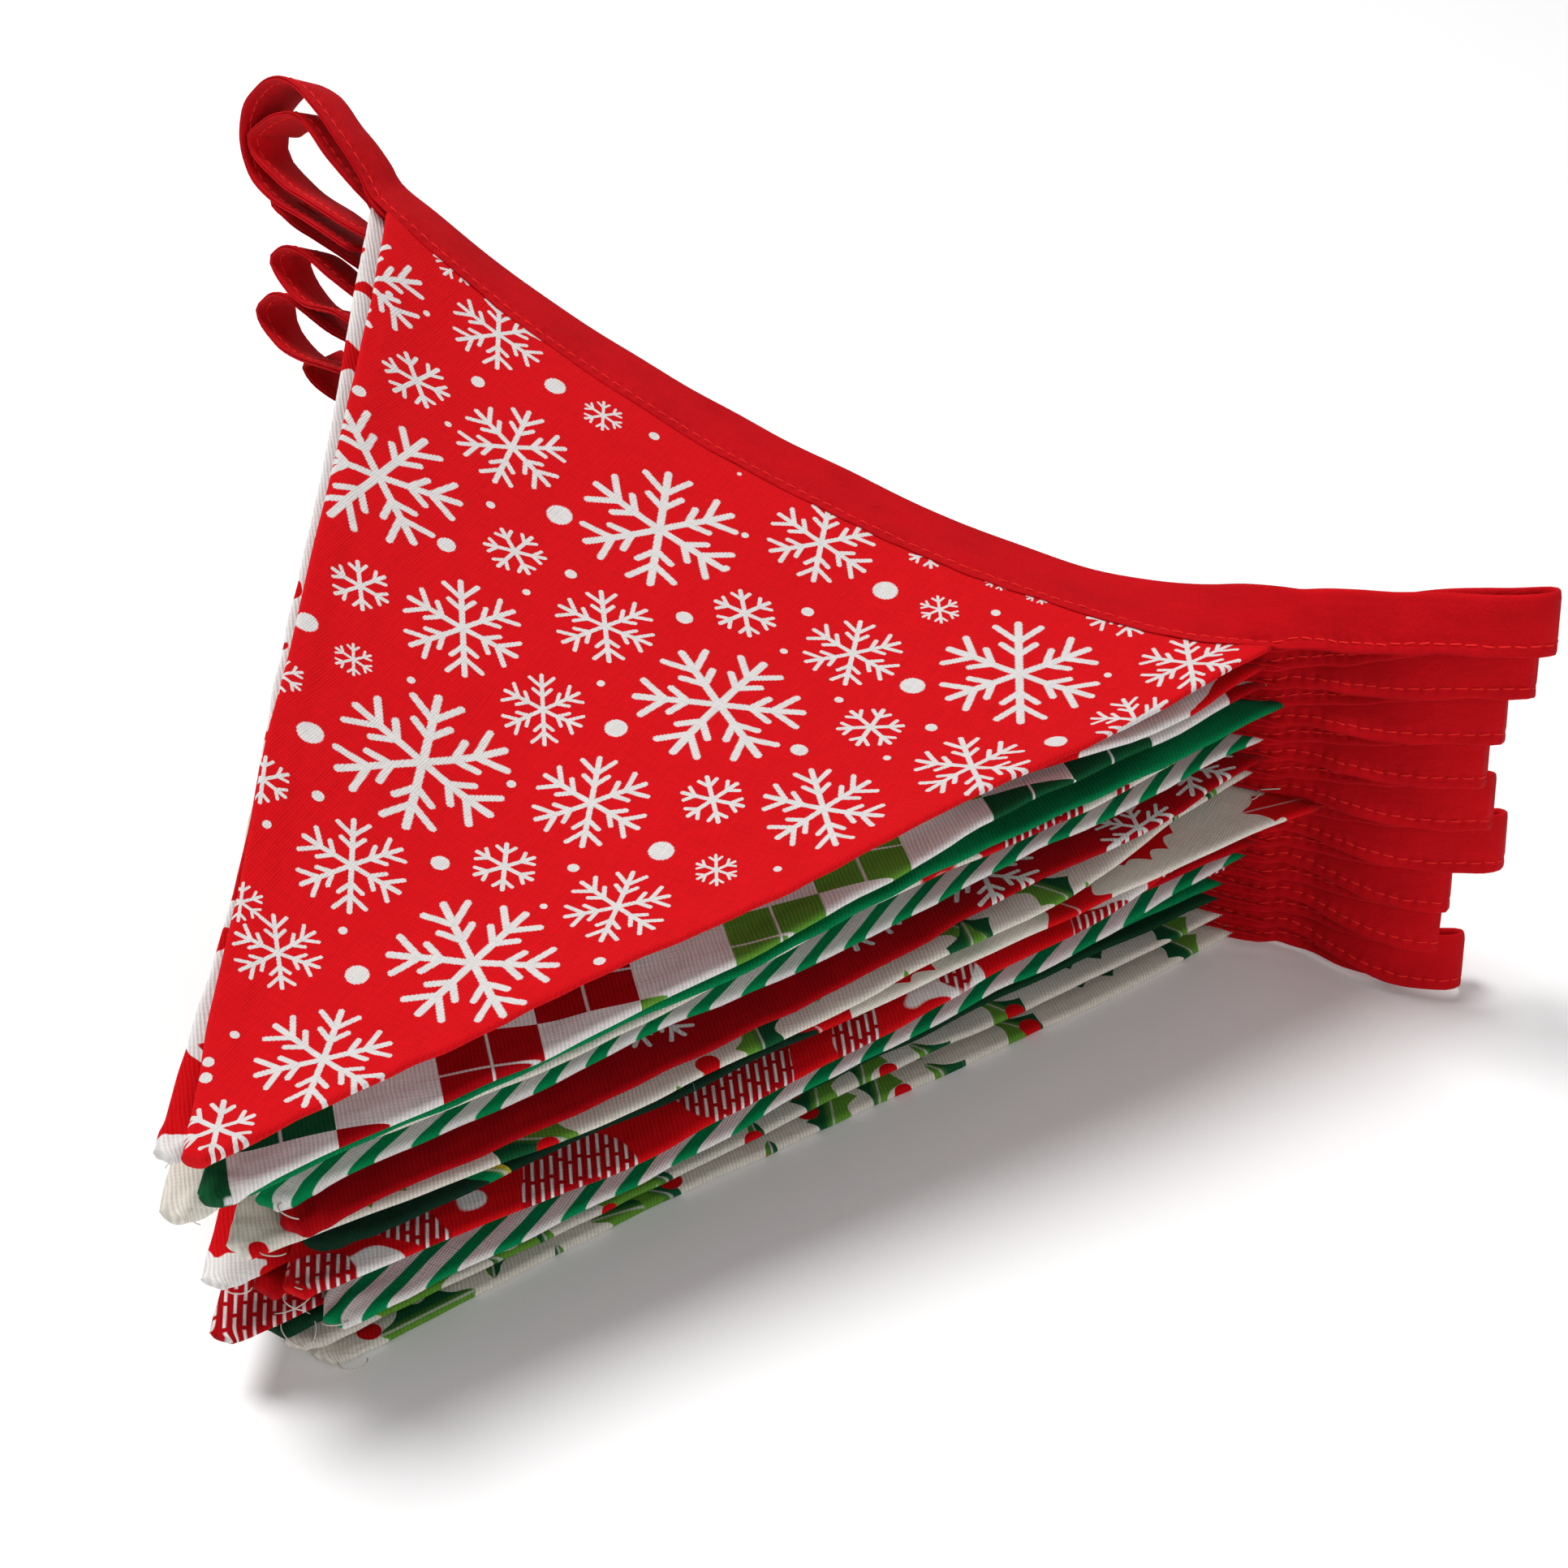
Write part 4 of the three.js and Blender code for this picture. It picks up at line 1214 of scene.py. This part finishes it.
# Tape cloth: a fine weave on the bias, drawn in along the stitches, with painted shade between the
# threads and a painted highlight along the folded edge.
def tape_cloth():
    cloth = Cloth("bias_tape_cotton")
    along_tape, wide = cloth.uv("cloth")
    from_line, _ = cloth.uv("stitch_line")
    u, v = cloth.turned(along_tape, wide, 45)
    wander = (cloth.noise(u, v, 6) - 0.5) * 0.6
    threads = cloth.crest((u + wander) / 0.36) * 0.5 + cloth.crest((v + wander) / 0.36) * 0.5
    cloudy = cloth.noise(along_tape, wide * 2, 14, 3)
    fuzz = cloth.noise(u, v, 0.5, 1)
    # Painted shade: the colour is darker in the grooves between the threads.
    light = threads * 0.14 + 0.80 + (cloudy - 0.5) * 0.3 + (fuzz - 0.5) * 0.16
    # Painted highlight: the colour is lightened along the folded edge.
    fold_highlight = cloth.clamp((wide - 11) / 1) * 0.10
    near_line = cloth.math("EXPONENT", from_line * from_line * -0.6)
    pull = cloth.crest(along_tape / STITCH_PITCH) * near_line
    creases = cloth.noise(along_tape / 2.2, wide, 2.4, 2)
    height = threads * 0.3 + fuzz * 0.5 + pull * 1.4 + creases * 2
    return cloth.finish(cloth.scaled(TAPE_RED, light + fold_highlight), 0.82, height, TAPE_DEPTH, SHEEN)


# Sewing thread: a twist in the bump, with painted shade in the grooves of the twist.
def sewing_thread(name, colour):
    cloth = Cloth(name)
    x, _, z = cloth.parts(cloth.add("TexCoord").outputs["Object"])
    twist = cloth.crest((x + z) / (TWIST_LENGTH * MM))
    return cloth.finish(cloth.scaled(colour, twist * 0.2 + 0.85), 0.8, twist, TWIST_DEPTH)


tape_path = TapePath()
tape = make_tape(tape_path)
tape.data.materials.append(tape_cloth())
stitches = make_stitches(tape_path)
stitches.data.materials.append(sewing_thread("red_thread", STITCH_RED))
loose = make_loose_threads()
loose.data.materials.append(sewing_thread("pale_thread", PALE_THREAD))
flags = [make_flag(level) for level in range(len(FLAGS))]
set_motifs(flags[TOP_LEVEL])
set_motifs(flags[11], keep=lambda across: across > 25)
cottons = {name: cotton(name) for name in sorted({row[1] for row in FLAGS})}
for flag, row in zip(flags, FLAGS):
    flag.data.materials.append(cottons[row[1]])

# Camera at the photograph's viewing angle.
CAMERA_AZIMUTH = 25.8
CAMERA_HEIGHT_ANGLE = 33.3
CAMERA_DISTANCE = 605
CAMERA_RIGHT = -5
CAMERA_UP = 19
FOCAL_PIXELS = 3300
PHOTO_PIXELS = 1932
SENSOR = 36

azimuth = math.radians(CAMERA_AZIMUTH)
rise = math.radians(CAMERA_HEIGHT_ANGLE)
right = Vector((math.cos(azimuth), math.sin(azimuth), 0))
level_view = Vector((-math.sin(azimuth), math.cos(azimuth), 0))
view = level_view * math.cos(rise) - Vector((0, 0, math.sin(rise)))
up = right.cross(view)
target = right * CAMERA_RIGHT + up * CAMERA_UP - Vector((CENTRE_X, CENTRE_Y, 0))
eye = target - view * CAMERA_DISTANCE
camera_data = bpy.data.cameras.new("camera")
camera_data.sensor_width = SENSOR
camera_data.lens = FOCAL_PIXELS / PHOTO_PIXELS * SENSOR
camera = bpy.data.objects.new("camera", camera_data)
bpy.context.scene.collection.objects.link(camera)
camera.matrix_world = Matrix.Translation(eye * MM) @ Matrix((right, up, -view)).transposed().to_4x4()
bpy.context.scene.camera = camera
bpy.context.scene.view_settings.view_transform = "Standard"

# Pale floor and soft studio light.
bpy.ops.mesh.primitive_plane_add(size=8, location=(0, 0, -0.0002))
floor = bpy.context.object
floor.name = "floor"
floor_material = bpy.data.materials.new("floor")
floor_material.use_nodes = True
floor_shader = floor_material.node_tree.nodes["Principled BSDF"]
floor_shader.inputs["Base Color"].default_value = (0.96, 0.96, 0.96, 1)
floor_shader.inputs["Roughness"].default_value = 0.9
floor.data.materials.append(floor_material)

world = bpy.data.worlds.new("studio")
bpy.context.scene.world = world
world.use_nodes = True
sky = world.node_tree.nodes["Background"]
sky.inputs["Color"].default_value = (1, 1, 1, 1)
sky.inputs["Strength"].default_value = 0.24

LIGHT_AIM = Vector((0, 0, 0.05))


def area_light(name, place, size, power):
    data = bpy.data.lights.new(name, "AREA")
    data.shape = "DISK"
    data.size = size
    data.energy = power
    lamp = bpy.data.objects.new(name, data)
    bpy.context.scene.collection.objects.link(lamp)
    lamp.location = place
    lamp.rotation_euler = (LIGHT_AIM - Vector(place)).to_track_quat("-Z", "Y").to_euler()


area_light("key", (-1.1, -0.2, 2.3), 1.1, 58)
area_light("fill", (1.8, -1.4, 1), 1.3, 22)
area_light("back", (-0.6, 2, 1.8), 1.4, 7)
